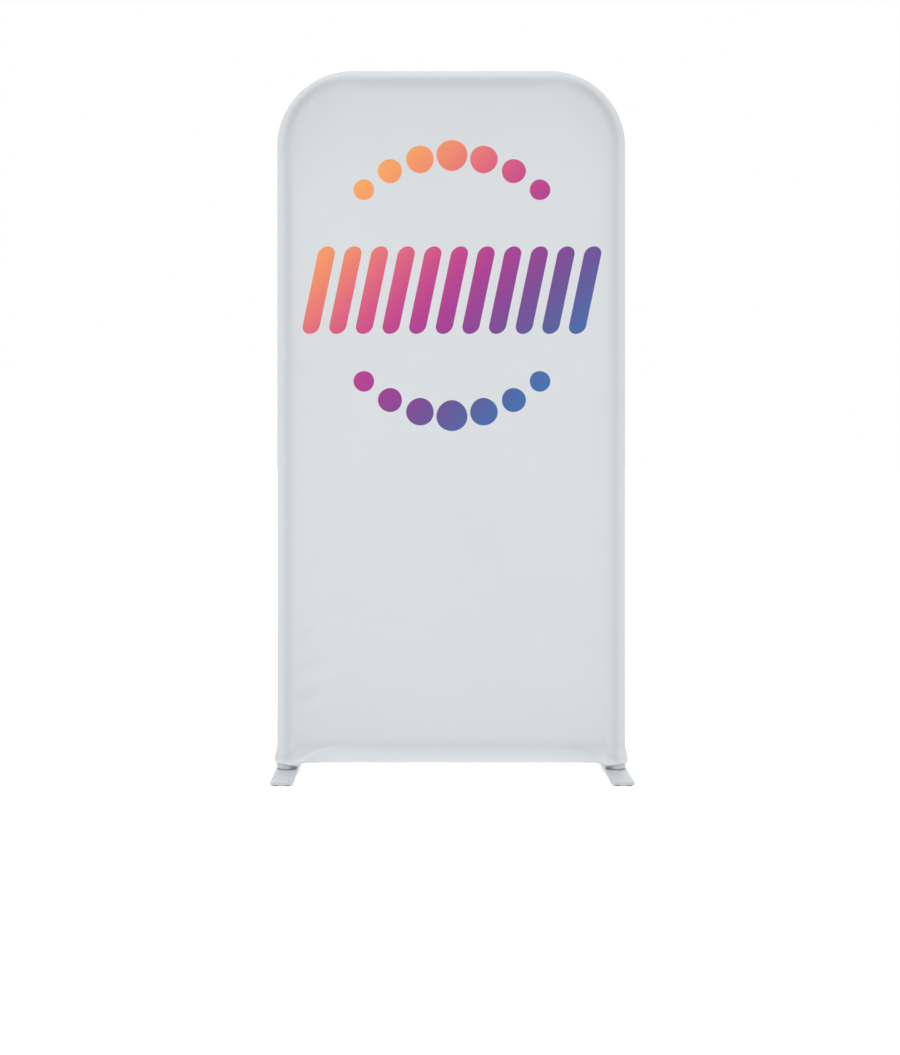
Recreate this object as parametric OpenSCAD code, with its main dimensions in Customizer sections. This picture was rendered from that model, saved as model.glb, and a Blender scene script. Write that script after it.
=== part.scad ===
// Tabletop banner display: a zipped stretch-fabric cover pulled over a knock-down tube frame,
// standing on two flat feet that swivel in line with the banner for packing.
// Millimetres, Z up, front towards -Y, origin on the table midway between the feet.

/* [Banner] */
// Width across the fabric, above the feet
banner_w = 610; // [450:10:900]
// Height of the fabric, from its hem to its top
banner_h = 1213; // [900:1:1500]
// Radius of the two top corners, over the fabric
corner_r = 132; // [90:1:200]
// Height of the hem above the table
hem_z = 16; // [14:1:24]
// Height of the bottom rail's axis above the hem
rail_rise = 35; // [32:1:45]

/* [Fabric] */
// Thickness of the fabric
fabric_t = 0.8; // [0.5:0.1:1.2]
// Air between the fabric and the tubes it is stretched over
fabric_gap = 0.3; // [0.25:0.05:0.6]
// How far the front of the cover sinks behind the crest of the tubes
front_dip = 4; // [1:0.5:8]
// Width of the sloping margin inside the tubes
margin_w = 60; // [40:5:80]
// Height above the hem where the fabric starts to flare over the foot flange
flare_h = 32; // [26:1:45]
// Reach of the hem's slope from a foot post to the rail
hem_blend = 62; // [45:1:90]
// How far the hem is drawn down on the inner side of a foot post
hem_drop = 6.5; // [0:0.5:7]
// How far the hem rides up where it hooks under a foot flange
hem_lift = 2.5; // [0:0.5:4]

/* [Tubes] */
// Outside diameter of the frame tubes
tube_d = 32; // [30:1:38]
// Wall of the frame tubes
tube_wall = 1.5; // [1:0.1:2.5]
// Radial clearance between a tube's bore and what plugs into it
plug_gap = 0.1; // [0.05:0.05:0.3]
// Wall of the joining sleeves and of the hollow spigots
sleeve_wall = 1.5; // [1:0.1:2]
// Length of a joining sleeve
sleeve_len = 110; // [90:2:140]
// Length of a corner fitting's spigots
spigot_len = 55; // [50:1:80]
// Straight leg below each top bend
bend_leg = 120; // [80:5:200]

/* [Snap buttons] */
// Diameter of a snap button
button_d = 6.4; // [5:0.1:7.5]
// Height that a button stands proud of its tube
button_proud = 2.5; // [1.5:0.1:3]
// Radial clearance around a button in its holes
button_gap = 0.3; // [0.2:0.05:0.5]
// Distance from a joint line to its button
button_step = 25; // [20:1:30]
// Distance from a joint line to its rivet
rivet_step = 30; // [20:1:40]
// Diameter of a rivet's shank
rivet_d = 3.2; // [2.4:0.1:4.8]
// Width of the spring clip's strip
clip_w = 8; // [7:0.5:10]
// Thickness of the spring clip's strip
clip_t = 0.8; // [0.5:0.1:1]
// Length of the spring clip from its button to its bend
clip_len = 26; // [22:1:28]

/* [Corner fittings] */
// Height of the fitting's shoulder above the rail
hub_rise = 2; // [1:0.5:6]
// Reach of the fitting's shoulder beyond the post towards the rail
hub_reach = 4; // [2:0.5:10]
// Diameter of the neck that shows below the hem
neck_d = 35; // [30:1:36]
// Reach beyond the neck of the flange that the hem hooks under
flange_w = 3; // [3:0.5:5]
// Thickness of that flange
flange_t = 6; // [4:0.5:8]
// Edge rounding of the flange
flange_round = 1.5; // [0.5:0.25:1.75]

/* [Feet] */
// Length of a foot plate, front to back
foot_len = 232; // [180:4:320]
// Width of a foot plate
foot_w = 38; // [34:1:60]
// Thickness of a foot plate
foot_t = 5; // [4.6:0.2:8]
// Corner radius of a foot plate
foot_round = 5; // [2:0.5:10]
// Chamfer around the top of a foot plate
foot_chamfer = 0.8; // [0.4:0.1:1.5]
// Thickness of the rubber pads
pad_t = 2; // [1:0.5:3]
// Diameter of the rubber pads
pad_d = 12; // [8:1:14]
// Distance from a plate's ends and sides to the pads' centres
pad_inset = 9; // [7:0.5:12]
// Thickness of the washer under the neck
washer_t = 1; // [0.5:0.1:1.5]
// Diameter of the foot screw's shank
screw_d = 8; // [6:1:8]
// Diameter of the foot screw's countersunk head
screw_head_d = 15; // [13:0.5:16]
// Radial clearance between the plate and the screw it swivels on
screw_gap = 0.2; // [0.1:0.05:0.4]
// Depth that the screw reaches above the washer
screw_grip = 22; // [16:1:28]

/* [Zip] */
// Height of the zip's middle above the hem
zip_rise = 62; // [58:1:80]
// Distance from each end of the zip to the nearer side of the banner
zip_inset = 38; // [30:1:80]
// Pitch of the teeth along one tape
tooth_pitch = 3; // [2.6:0.1:4]
// Thickness of the teeth
tooth_t = 2.6; // [2:0.1:3]
// Width of each zip tape
tape_w = 12.6; // [10:0.2:16]
// Thickness of the zip tape
tape_t = 0.6; // [0.3:0.1:0.8]
// Length of the pull tab
pull_len = 26; // [20:1:35]
// Width of the pull tab
pull_w = 6.4; // [5.8:0.2:8]
// Running clearance inside the slider
slider_gap = 0.3; // [0.2:0.05:0.5]

/* [Hidden] */
$fn = 64;
EPS = 0.01;

// Frame lines
tube_r = tube_d / 2;
bore_r = tube_r - tube_wall;
skin_r = tube_r + fabric_gap + fabric_t;
post_x = banner_w / 2 - skin_r;
top_z = hem_z + banner_h - skin_r;
rail_z = hem_z + rail_rise;
bend_r = corner_r - skin_r;
bend_z = top_z - bend_r;
bend_x = post_x - bend_r;

// Foot stack, from the table up
plate_top = pad_t + foot_t;
neck_z = plate_top + washer_t;
flange_z = hem_z + hem_lift + fabric_t + fabric_gap;
flange_top = flange_z + flange_t;
neck_r = neck_d / 2;
flange_r = neck_r + flange_w;

// Joint lines between the tubes
fitting_top = rail_z + tube_r + hub_rise;
hub_x = post_x - tube_r - hub_reach;
shoulder_z = bend_z - bend_leg;
mid_z = (fitting_top + shoulder_z) / 2;

// Sleeves and spigots
plug_r = bore_r - plug_gap;
plug_bore_r = plug_r - sleeve_wall;

// Snap button, measured outwards from the tube's axis
clip_face = sqrt(pow(plug_bore_r, 2) - pow(clip_w / 2, 2)) - 0.06;
button_top = tube_r + button_proud;
button_hole_r = button_d / 2 + button_gap;
tail_r = 1.5;
tail_gap = 0.1;
tail_head_r = 2.6;
tail_head_t = 0.9;
clip_bend_r = 3;

// Zip, with its chain on the plane of the tapes behind the rear panel
zip_z = hem_z + zip_rise;
zip_half = banner_w / 2 - zip_inset;
tape_y = skin_r - fabric_t - tape_t / 2;
chain_top = tape_y + tooth_t / 2;
tooth_head = tooth_pitch * 0.45;
tooth_neck = tooth_pitch * 0.3;
tooth_reach = 1.4;
cord_in = 2.2;
cord_out = 3.4;
slider_wall = 1.2;
slider_half_w = 5.2;
slider_channel = cord_out + slider_gap + 0.2;
slider_nose = 6;
slider_tail = 5;
slot_half = slider_half_w + 1;
slider_x = zip_half - 12;
slider_top = chain_top + slider_gap + slider_wall;
bar_r = 0.75;
bridge_gap = 2.2;
bridge_t = 1.2;
bridge_half = 2.4;
bridge_w = 2;
pull_y = slider_top + bridge_gap / 2;
pull_t = 1.4;
pull_arm_in = 1.6;
pull_start = 5.2;

// Fabric around a foot post: radius and height of the cover at each level, for a depth below
// the outer surface
hem_edge_r = neck_r + 1;
flare_r = flange_r + fabric_gap + fabric_t;
flare_top = hem_z + flare_h;
WRAP_STEP = 15;
WRAPS = [0 : WRAP_STEP : 90];
N_WRAP = 90 / WRAP_STEP;
FACET = 1 / cos(WRAP_STEP / 2);
INNER = [0.12, 0.3, 0.6, 1];
ARC_STEPS = 9;

metal = "silver";
grey = "gray";
cloth = "gainsboro";

// Two places for everything that comes in a left and a right
module left() { translate([-post_x, 0, 0]) mirror([1, 0, 0]) children(); }
module right() { translate([post_x, 0, 0]) children(); }

// Hollow tube along Z from z0 to z1
module pipe(r, bore, z0, z1) {
    difference() {
        translate([0, 0, z0]) cylinder(r = r, h = z1 - z0);
        translate([0, 0, z0 - 1]) cylinder(r = bore, h = z1 - z0 + 2);
    }
}

// Round hole through the wall that faces the middle of the banner, at height z
module wall_hole(z, r) {
    translate([0, 0, z]) rotate([0, -90, 0]) cylinder(r = r, h = tube_d);
}

// Places a part drawn with its tube along Z, facing -X, onto each joint
module at_mid() { translate([0, 0, mid_z]) children(); }
module at_shoulder() { translate([0, 0, shoulder_z]) children(); }
module at_fitting() { translate([0, 0, fitting_top]) children(); }
module at_rail() {
    translate([hub_x - post_x, 0, rail_z]) rotate([0, -90, 0]) mirror([1, 0, 0]) children();
}
module at_top() { translate([0, 0, top_z]) rotate([0, 90, 0]) mirror([1, 0, 0]) children(); }

// Bottom rail, with a button hole on top of each end
module bottom_rail() {
    color(metal)
    difference() {
        translate([0, 0, rail_z]) rotate([0, 90, 0]) pipe(tube_r, bore_r, -hub_x, hub_x);
        for (s = [-1, 1])
            translate([s * (hub_x - button_step), 0, rail_z]) cylinder(r = button_hole_r, h = tube_d);
    }
}

// Upright between two joint lines: a button hole at its foot and a rivet hole at its head
module upright(z0, z1) {
    color(metal)
    difference() {
        pipe(tube_r, bore_r, z0, z1);
        wall_hole(z0 + button_step, button_hole_r);
        wall_hole(z1 - rivet_step, rivet_d / 2);
    }
}

// Top bend: a leg down to the shoulder joint, a quarter turn, and a leg to the middle of the top
module top_bend(end_hole_r, end_step) {
    color(metal)
    difference() {
        union() {
            pipe(tube_r, bore_r, shoulder_z, bend_z);
            translate([-bend_r, 0, bend_z]) rotate([90, 0, 0])
                rotate_extrude(angle = 90) translate([bend_r, 0]) difference() {
                    circle(r = tube_r);
                    circle(r = bore_r);
                }
            translate([-bend_r, 0, top_z]) rotate([0, -90, 0]) pipe(tube_r, bore_r, 0, bend_x);
        }
        wall_hole(shoulder_z + button_step, button_hole_r);
        translate([end_step - post_x, 0, top_z - tube_d]) cylinder(r = end_hole_r, h = tube_d);
    }
}

// Joining sleeve, drawn on its joint line
module sleeve() {
    color(metal)
    difference() {
        pipe(plug_r, plug_bore_r, -sleeve_len / 2, sleeve_len / 2);
        wall_hole(button_step, button_hole_r);
        wall_hole(-rivet_step, rivet_d / 2);
    }
}

// Blind rivet that holds a sleeve in the tube below its joint line
module rivet() {
    dome_r = rivet_d;
    dome_t = rivet_d * 0.45;
    bulb_r = rivet_d * 0.8;
    bulb_t = 1.8;
    inside = plug_bore_r - 0.3;
    seat = tube_r + 0.02;
    color(metal)
    translate([0, 0, -rivet_step]) rotate([0, -90, 0])
        rotate_extrude() polygon([
            [0, inside - bulb_t], [bulb_r, inside - bulb_t], [bulb_r, inside - 0.4],
            [rivet_d / 2 - 0.05, inside], [rivet_d / 2 - 0.05, seat], [dome_r, seat],
            [dome_r * 0.8, seat + dome_t * 0.7], [dome_r * 0.4, seat + dome_t], [0, seat + dome_t],
        ]);
}

// Snap button with its domed top and the tail that is riveted through its clip
module snap_button() {
    r = button_d / 2;
    dome = r * 0.6;
    color(grey)
    translate([0, 0, button_step]) rotate([0, -90, 0])
        rotate_extrude() polygon(concat(
            [[0, clip_face - clip_t - tail_head_t], [tail_head_r, clip_face - clip_t - tail_head_t],
             [tail_head_r, clip_face - clip_t], [tail_r, clip_face - clip_t],
             [tail_r, clip_face], [r, clip_face]],
            [for (a = [0 : WRAP_STEP : 90]) [r * cos(a), button_top - dome + dome * sin(a)]]
        ));
}

// Outline of a strip of thickness t along a line of points
function strip(line, t) = let (
    last = len(line) - 1,
    way = [for (i = [0 : last]) let (
        d = line[min(i + 1, last)] - line[max(i - 1, 0)]) [-d[1], d[0]] / norm(d)]
) concat([for (i = [0 : last]) line[i] + way[i] * t / 2],
         [for (i = [last : -1 : 0]) line[i] - way[i] * t / 2]);

// V-shaped spring clip: one leg lies on the bore behind the button, the other on the far side
module snap_clip() {
    leg = clip_face - clip_t / 2;
    end = 6;
    bend = clip_len - clip_bend_r;
    line = concat(
        [[-end, leg], [0, leg], [end, leg], [bend, clip_bend_r]],
        [for (a = [60 : -30 : -60]) [bend + 1 + clip_bend_r * cos(a), clip_bend_r * sin(a)]],
        [[bend, -clip_bend_r], [0, -leg + 0.4], [-end, -leg + 0.4]]);
    color(metal)
    difference() {
        translate([0, clip_w / 2, button_step]) rotate([90, 0, 0])
            linear_extrude(clip_w) polygon([for (p = strip(line, clip_t)) [-p[1], p[0]]]);
        translate([0, 0, button_step]) rotate([0, -90, 0]) cylinder(r = tail_r + tail_gap, h = tube_d);
    }
}

// Corner fitting: neck, flange and body on the post's axis, a spigot up into the upright and one
// into the bottom rail
module corner_fitting() {
    lead_in = 1;
    upright_floor = 8;
    rail_floor = 2;
    body_r = tube_r - 0.05;
    color(grey)
    difference() {
        union() {
            rotate_extrude() polygon(concat(
                [[0, neck_z], [neck_r - 0.6, neck_z], [neck_r, neck_z + 0.6], [neck_r, flange_z]],
                [for (a = [-90 : 30 : 0]) [flange_r - flange_round + flange_round * cos(a),
                                           flange_z + flange_round + flange_round * sin(a)]],
                [for (a = [0 : 30 : 90]) [flange_r - flange_round + flange_round * cos(a),
                                          flange_top - flange_round + flange_round * sin(a)]],
                [[body_r, flange_top], [body_r, fitting_top], [plug_r, fitting_top],
                 [plug_r, fitting_top + spigot_len - lead_in],
                 [plug_r - lead_in, fitting_top + spigot_len], [0, fitting_top + spigot_len]]
            ));
            translate([0, 0, rail_z]) rotate([0, -90, 0]) cylinder(r = body_r - 0.2, h = post_x - hub_x);
            translate([0, 0, rail_z]) rotate([0, -90, 0])
                cylinder(r = plug_r, h = post_x - hub_x + spigot_len);
        }
        translate([0, 0, fitting_top - upright_floor]) cylinder(r = plug_bore_r, h = spigot_len + tube_d);
        translate([hub_x - post_x + rail_floor, 0, rail_z]) rotate([0, -90, 0])
            cylinder(r = plug_bore_r, h = spigot_len + tube_d);
        wall_hole(fitting_top + button_step, button_hole_r);
        translate([hub_x - post_x - button_step, 0, rail_z]) cylinder(r = button_hole_r, h = tube_d);
        translate([0, 0, neck_z - 1]) cylinder(r = screw_d / 2, h = screw_grip + 3);
    }
}

// Nylon washer between the neck and the foot plate
module foot_washer() {
    color(grey) pipe(neck_r - 1, screw_d / 2 + screw_gap, plate_top, neck_z);
}

// Countersunk screw that the foot swivels on, with a hexagon socket
module foot_screw() {
    head_r = screw_head_d / 2;
    shank_r = screw_d / 2 - 0.05;
    low = pad_t + 0.3;
    color(metal)
    difference() {
        rotate_extrude() polygon([
            [0, low], [head_r, low], [shank_r, low + head_r - shank_r],
            [shank_r, neck_z + screw_grip - 1], [shank_r - 1, neck_z + screw_grip],
            [0, neck_z + screw_grip],
        ]);
        translate([0, 0, low - 1]) cylinder(d = screw_d * 0.6, h = screw_d * 0.35 + 1, $fn = 6);
    }
}

// Flat bar with rounded corners and a chamfered top edge, standing on z = 0
module chamfered_plate(l, w, t, r, c) {
    for (x = [-1, 1], y = [-1, 1])
        translate([x * (w / 2 - r), y * (l / 2 - r), 0]) {
            cylinder(r = r, h = t - c);
            translate([0, 0, t - c]) cylinder(r1 = r, r2 = r - c, h = c);
        }
    translate([0, l / 2 - r, 0]) rotate([90, 0, 0]) linear_extrude(l - 2 * r)
        polygon([[-w / 2, 0], [w / 2, 0], [w / 2, t - c], [w / 2 - c, t], [c - w / 2, t], [-w / 2, t - c]]);
    translate([r - w / 2, 0, 0]) rotate([90, 0, 90]) linear_extrude(w - 2 * r)
        polygon([[-l / 2, 0], [l / 2, 0], [l / 2, t - c], [l / 2 - c, t], [c - l / 2, t], [-l / 2, t - c]]);
}

// Foot plate with the countersunk hole for its screw
module foot_plate() {
    hole_r = screw_d / 2 + screw_gap;
    sink_r = screw_head_d / 2 + screw_gap + 0.3;
    color(metal)
    difference() {
        translate([0, 0, pad_t]) chamfered_plate(foot_len, foot_w, foot_t, foot_round, foot_chamfer);
        translate([0, 0, pad_t - 1]) cylinder(r = hole_r, h = foot_t + 2);
        translate([0, 0, pad_t]) cylinder(r1 = sink_r, r2 = hole_r, h = sink_r - hole_r);
        translate([0, 0, pad_t - 1]) cylinder(r = sink_r, h = 1 + EPS);
    }
}

// Four rubber pads under one foot plate
module foot_pads() {
    color("dimgray")
    for (x = [-1, 1], y = [-1, 1])
        translate([x * (foot_w / 2 - pad_inset), y * (foot_len / 2 - pad_inset), 0])
            cylinder(r1 = pad_d / 2 - 0.5, r2 = pad_d / 2, h = pad_t);
}

// Radius and height of the cover's levels around a post, from the hem's edge up; o is the depth
// below the outer surface
function levels(o) = [
    [hem_edge_r, hem_z + hem_lift + o],
    [flange_r - flange_round, hem_z + hem_lift + o],
    [flare_r - o, flange_z + 0.5],
    [flare_r - o, flange_top],
    [(flare_r + skin_r) / 2 - o, (flange_top + flare_top) / 2],
    [skin_r - o, flare_top],
];

// Quarter turn of points around a post, from the seam to the crest; s is 1 on the outer side and
// drop is how far the hem sinks towards the inner side
function around(level, s, drop = 0) = [for (a = WRAPS) [
    post_x + s * level[0] * FACET * cos(a), -level[0] * FACET * sin(a),
    level[1] - drop * pow((1 - s * cos(a)) / 2, 2)]];

// The cover's lower edge at x: from its apex up a straight slope to the rail, then round it
function hem_line(x, o) = let (
    r = skin_r - o,
    leave = acos(skin_r / rail_rise),
    apex = rail_z - rail_rise * r / skin_r
) [for (a = WRAPS) a < leave
    ? [x, -r * sin(leave) * a / leave, apex + (rail_z - r * cos(leave) - apex) * a / leave]
    : [x, -r * sin(a), rail_z - r * cos(a)]];

function mix(a, b, s) = [for (i = [0 : len(a) - 1]) a[i] * (1 - s) + b[i] * s];

// Points round the top corner at angle c, from the side (0) to the top (90)
function bend_line(c, o) = let (
    step = 90 / ARC_STEPS,
    out = (bend_r + (skin_r - o)) / cos(step / 2) - bend_r - (skin_r - o)
) [for (a = WRAPS) let (reach = bend_r + (skin_r - o) * FACET * cos(a) + out) [
    bend_x + reach * cos(c), -(skin_r - o) * FACET * sin(a), bend_z + reach * sin(c)]];

// Columns of the right half of a cover panel, from the middle of the hem to the middle of the top.
// Number POST_COLUMN is the last one before the foot post.
POST_COLUMN = 5;
function half_columns(o) = let (
    lv = levels(o),
    post = around(lv[2], -1, lv[2][1] - hem_z),
    foot = hem_line(post_x - hem_blend, o)
) concat(
    [hem_line(0, o), hem_line((post_x - hem_blend) * 0.6, o), foot, mix(post, foot, 0.6),
     mix(post, foot, 0.25), around(lv[2], -1, hem_drop), around(lv[2], 1, hem_drop),
     around(lv[3], 1), around(lv[4], 1), around(lv[5], 1)],
    [for (f = [0.35, 0.7]) around([skin_r - o, flare_top + (bend_z - flare_top) * f], 1)],
    [for (i = [0 : ARC_STEPS]) bend_line(90 * i / ARC_STEPS, o)],
    [[for (a = WRAPS) [0, -(skin_r - o) * FACET * sin(a), top_z + (skin_r - o) * FACET * cos(a)]]]
);

// Where each column of half_columns() ends on the flat middle of the panel
flat_x = post_x - margin_w;
flat_z = rail_z + margin_w;
flat_r = max(bend_r - margin_w, 8);
flat_top = top_z - margin_w;
function half_ends() = concat(
    [[0, flat_z], [flat_x * 0.55, flat_z], [flat_x * 0.85, flat_z], [flat_x * 0.92, flat_z],
     [flat_x * 0.97, flat_z + 1], [flat_x - 1, flat_z + 4], [flat_x - 1, flat_z + 4],
     [flat_x, flat_z + 12], [flat_x, flat_z + 24], [flat_x, flat_z + 42]],
    [for (f = [0.35, 0.7]) [flat_x, flat_z + 42 + (flat_top - flat_r - flat_z - 42) * f]],
    [for (i = [0 : ARC_STEPS]) [flat_x - flat_r + flat_r * cos(90 * i / ARC_STEPS),
                                flat_top - flat_r + flat_r * sin(90 * i / ARC_STEPS)]],
    [[0, flat_top]]
);

// A half column carried on from its crest to the flat middle
function carried(column, end, dip, o) = let (
    crest = column[N_WRAP],
    flat_y = -(skin_r - o) + dip
) concat(column, [for (w = INNER) [
    crest[0] + (end[0] - crest[0]) * w, crest[1] + (flat_y - crest[1]) * sin(90 * w),
    crest[2] + (end[1] - crest[2]) * w]]);

function mirrored(points) = [for (p = points) [-p[0], p[1], p[2]]];

// All columns of a panel in order round its edge
function panel_columns(dip, o) = let (
    cols = half_columns(o), ends = half_ends(), n = len(cols),
    half = [for (i = [0 : n - 1]) carried(cols[i], ends[i], dip, o)]
) concat(half, [for (i = [n - 2 : -1 : 1]) mirrored(half[i])]);

// Half turns of points under the flange, from the inner seam to the outer one
function under_rows(o) = [for (k = [1, 0]) let (
    inner = around(levels(o)[k], -1, hem_drop), outer = around(levels(o)[k], 1, hem_drop)
) concat(inner, [for (i = [N_WRAP - 1 : -1 : 0]) outer[i]])];

function flat(lists) = [for (l = lists) for (p = l) p];
function quad(a, b, c, d) = [[a, b, c], [a, c, d]];

// One side of the cover as a thin closed shell: outer skin, inner skin and the rim between them.
// The column before each foot post and the one after it share their crest and what lies inside it.
module panel(dip) {
    cols = [panel_columns(dip, 0), panel_columns(dip, fabric_t)];
    under = [under_rows(0), under_rows(fabric_t)];
    n = len(cols[0]);
    rings = len(cols[0][0]);
    posts = [POST_COLUMN, n - POST_COLUMN];
    span = 2 * N_WRAP + 1;
    base = n * rings;
    centre = base + 4 * span;
    skin = centre + 1;
    points = flat([for (o = [0, 1]) concat(
        flat(cols[o]), flat(under[o]), flat([for (r = under[o]) mirrored(r)]),
        [[0, dip - skin_r + o * fabric_t, (flat_z + flat_top) / 2]])]);

    function at(c, k) = k >= N_WRAP && c == posts[0] + 1 ? at(posts[0], k)
        : k >= N_WRAP && c == posts[1] - 1 ? at(posts[1], k) : c * rings + k;
    function post_row(side) = let (a = posts[side], b = side == 0 ? a + 1 : a - 1)
        concat([for (k = [0 : N_WRAP]) at(a, k)], [for (k = [N_WRAP - 1 : -1 : 0]) at(b, k)]);
    function row(side, k) = k == 0 ? post_row(side)
        : [for (i = [0 : span - 1]) base + (side * 2 + k - 1) * span + i];
    function open_pair(c) = c == posts[0] || c == posts[1] - 1;

    walls = flat([for (c = [0 : n - 1]) if (!open_pair(c)) let (d = (c + 1) % n)
        flat([for (k = [0 : rings - 2]) quad(at(c, k), at(c, k + 1), at(d, k + 1), at(d, k))])]);
    patches = flat([for (side = [0, 1], k = [0, 1]) let (p = row(side, k), q = row(side, k + 1))
        flat([for (i = [0 : span - 2]) side == 0
            ? quad(p[i], p[i + 1], q[i + 1], q[i]) : quad(p[i], q[i], q[i + 1], p[i + 1])])]);
    loop = [for (c = [0 : n - 1]) if (c != posts[0] + 1 && c != posts[1] - 1) at(c, rings - 1)];
    middle = [for (i = [0 : len(loop) - 1]) [loop[i], centre, loop[(i + 1) % len(loop)]]];
    outer = concat(walls, patches, middle);

    edge_right = concat([row(0, 0)[0], row(0, 1)[0]], row(0, 2),
        [row(0, 1)[span - 1], row(0, 0)[span - 1]]);
    edge_left = concat([row(1, 0)[span - 1], row(1, 1)[span - 1]],
        [for (i = [span - 1 : -1 : 0]) row(1, 2)[i]], [row(1, 1)[0], row(1, 0)[0]]);
    edge = concat([for (c = [0 : posts[0] - 1]) at(c, 0)], edge_right,
        [for (c = [posts[0] + 2 : posts[1] - 2]) at(c, 0)], edge_left,
        [for (c = [posts[1] + 1 : n - 1]) at(c, 0)]);
    rim = flat([for (i = [0 : len(edge) - 1]) let (a = edge[i], b = edge[(i + 1) % len(edge)])
        quad(a, b, b + skin, a + skin)]);

    inner = [for (f = outer) [f[2] + skin, f[1] + skin, f[0] + skin]];
    polyhedron(points, concat(outer, inner, rim));
}

module cover_front() {
    color(cloth) panel(front_dip);
}

// Rear of the cover, with the slot that the zip closes
module cover_back() {
    color(cloth) difference() {
        mirror([0, 1, 0]) panel(0);
        translate([-zip_half - 4, 0, zip_z - slot_half]) cube([2 * zip_half + 8, tube_d, 2 * slot_half]);
    }
}

// A zip half is drawn for the upper side, with its chain centred on z = 0
module on_zip(s) { translate([0, tape_y, zip_z]) mirror([0, 0, s < 0 ? 1 : 0]) children(); }

module zip_tape(s) {
    end = zip_half + 3;
    color(cloth)
    on_zip(s) translate([-end, -tape_t / 2, cord_out]) cube([2 * end, tape_t, tape_w]);
}

// Comb of dovetail teeth on their cord, half a pitch off the other comb's
module zip_teeth(s) {
    x0 = -zip_half + 2;
    x1 = slider_x + 1;
    count = floor((x1 - x0) / tooth_pitch - 0.5);
    first = x0 + tooth_pitch / 2 + (s < 0 ? tooth_pitch / 2 : 0);
    color("whitesmoke")
    on_zip(s) translate([0, tooth_t / 2, 0]) rotate([90, 0, 0]) linear_extrude(tooth_t)
        polygon(concat(
            [[x0, cord_out], [x0, cord_in]],
            flat([for (i = [0 : count - 1]) let (x = first + i * tooth_pitch) [
                [x - tooth_neck / 2, cord_in], [x - tooth_head / 2, -tooth_reach],
                [x + tooth_head / 2, -tooth_reach], [x + tooth_neck / 2, cord_in]]]),
            [[x1, cord_in], [x1, cord_out]]
        ));
}

// Stops: one bar across both tapes where the chain begins, and one block on each tape where it ends
module zip_stops() {
    bar = 1.8;
    y = tooth_t / 2;
    color(metal) {
        translate([-zip_half, tape_y - y, zip_z - cord_out]) cube([bar, 2 * y, 2 * cord_out]);
        for (s = [-1, 1])
            on_zip(s) translate([slider_x + slider_nose + 1, -y, 0.6]) cube([2 * bar, 2 * y, cord_out - 0.6]);
    }
}

// Slider: two plates with folded edges, the divider between them and the bridge for the pull
module zip_slider() {
    in_y = tooth_t / 2 + slider_gap;
    lip = tape_t / 2 + slider_gap;
    wide = slider_half_w;
    outline = [[-slider_tail, -wide + 1], [slider_nose - 2, -wide], [slider_nose, -wide + 1.6],
               [slider_nose, wide - 1.6], [slider_nose - 2, wide], [-slider_tail, wide - 1]];
    color(metal)
    translate([slider_x, tape_y, zip_z]) {
        for (s = [-1, 1]) mirror([0, s < 0 ? 1 : 0, 0]) {
            translate([0, in_y + slider_wall, 0]) rotate([90, 0, 0])
                linear_extrude(slider_wall) polygon(outline);
            translate([0, in_y + EPS, 0]) rotate([90, 0, 0]) linear_extrude(in_y - lip + EPS)
                intersection() {
                    polygon(outline);
                    for (z = [slider_channel, -slider_channel - wide])
                        translate([-slider_tail, z]) square([slider_tail + slider_nose - 2, wide]);
                }
        }
        translate([0, in_y + EPS, 0]) rotate([90, 0, 0]) linear_extrude(2 * in_y + 2 * EPS)
            polygon([[2, 0], [3.6, -1.3], [5.4, 0], [3.6, 1.3]]);
        translate([0, in_y + slider_wall - EPS, -bridge_w / 2]) difference() {
            translate([-bridge_half - bridge_t, 0, 0])
                cube([2 * (bridge_half + bridge_t), bridge_gap + bridge_t + EPS, bridge_w]);
            translate([-bridge_half, -1, -1]) cube([2 * bridge_half, bridge_gap + 1 + EPS, bridge_w + 2]);
        }
    }
}

// Pull tab: a cross bar under the bridge, two arms and a flat tab with a hole
module zip_pull() {
    half = pull_w / 2;
    color(metal)
    translate([slider_x, pull_y, zip_z]) {
        translate([0, 0, -half + 0.4]) cylinder(r = bar_r, h = pull_w - 0.8);
        for (z = [-half + 0.4, pull_arm_in])
            translate([0, -pull_t / 2, z]) cube([pull_start + 1, pull_t, half - 0.4 - pull_arm_in]);
        translate([0, pull_t / 2, 0]) rotate([90, 0, 0]) linear_extrude(pull_t) difference() {
            union() {
                translate([pull_start, -half]) square([pull_len - pull_start - half, pull_w]);
                translate([pull_len - half, 0]) circle(r = half);
            }
            translate([pull_len - half, 0]) circle(r = half * 0.45);
        }
    }
}

// Frame tubes
bottom_rail();
left() corner_fitting();  // corner_fitting_left
right() corner_fitting();  // corner_fitting_right
left() upright(fitting_top, mid_z);  // lower_upright_left
right() upright(fitting_top, mid_z);  // lower_upright_right
left() upright(mid_z, shoulder_z);  // upper_upright_left
right() upright(mid_z, shoulder_z);  // upper_upright_right
left() top_bend(rivet_d / 2, rivet_step);  // top_bend_left
right() top_bend(button_hole_r, button_step);  // top_bend_right

// Sleeves and their rivets
left() at_mid() sleeve();  // mid_sleeve_left
right() at_mid() sleeve();  // mid_sleeve_right
left() at_shoulder() sleeve();  // shoulder_sleeve_left
right() at_shoulder() sleeve();  // shoulder_sleeve_right
at_top() sleeve();  // top_sleeve
union() {  // sleeve_rivets
    left() { at_mid() rivet(); at_shoulder() rivet(); }
    right() { at_mid() rivet(); at_shoulder() rivet(); }
    at_top() rivet();
}

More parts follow.
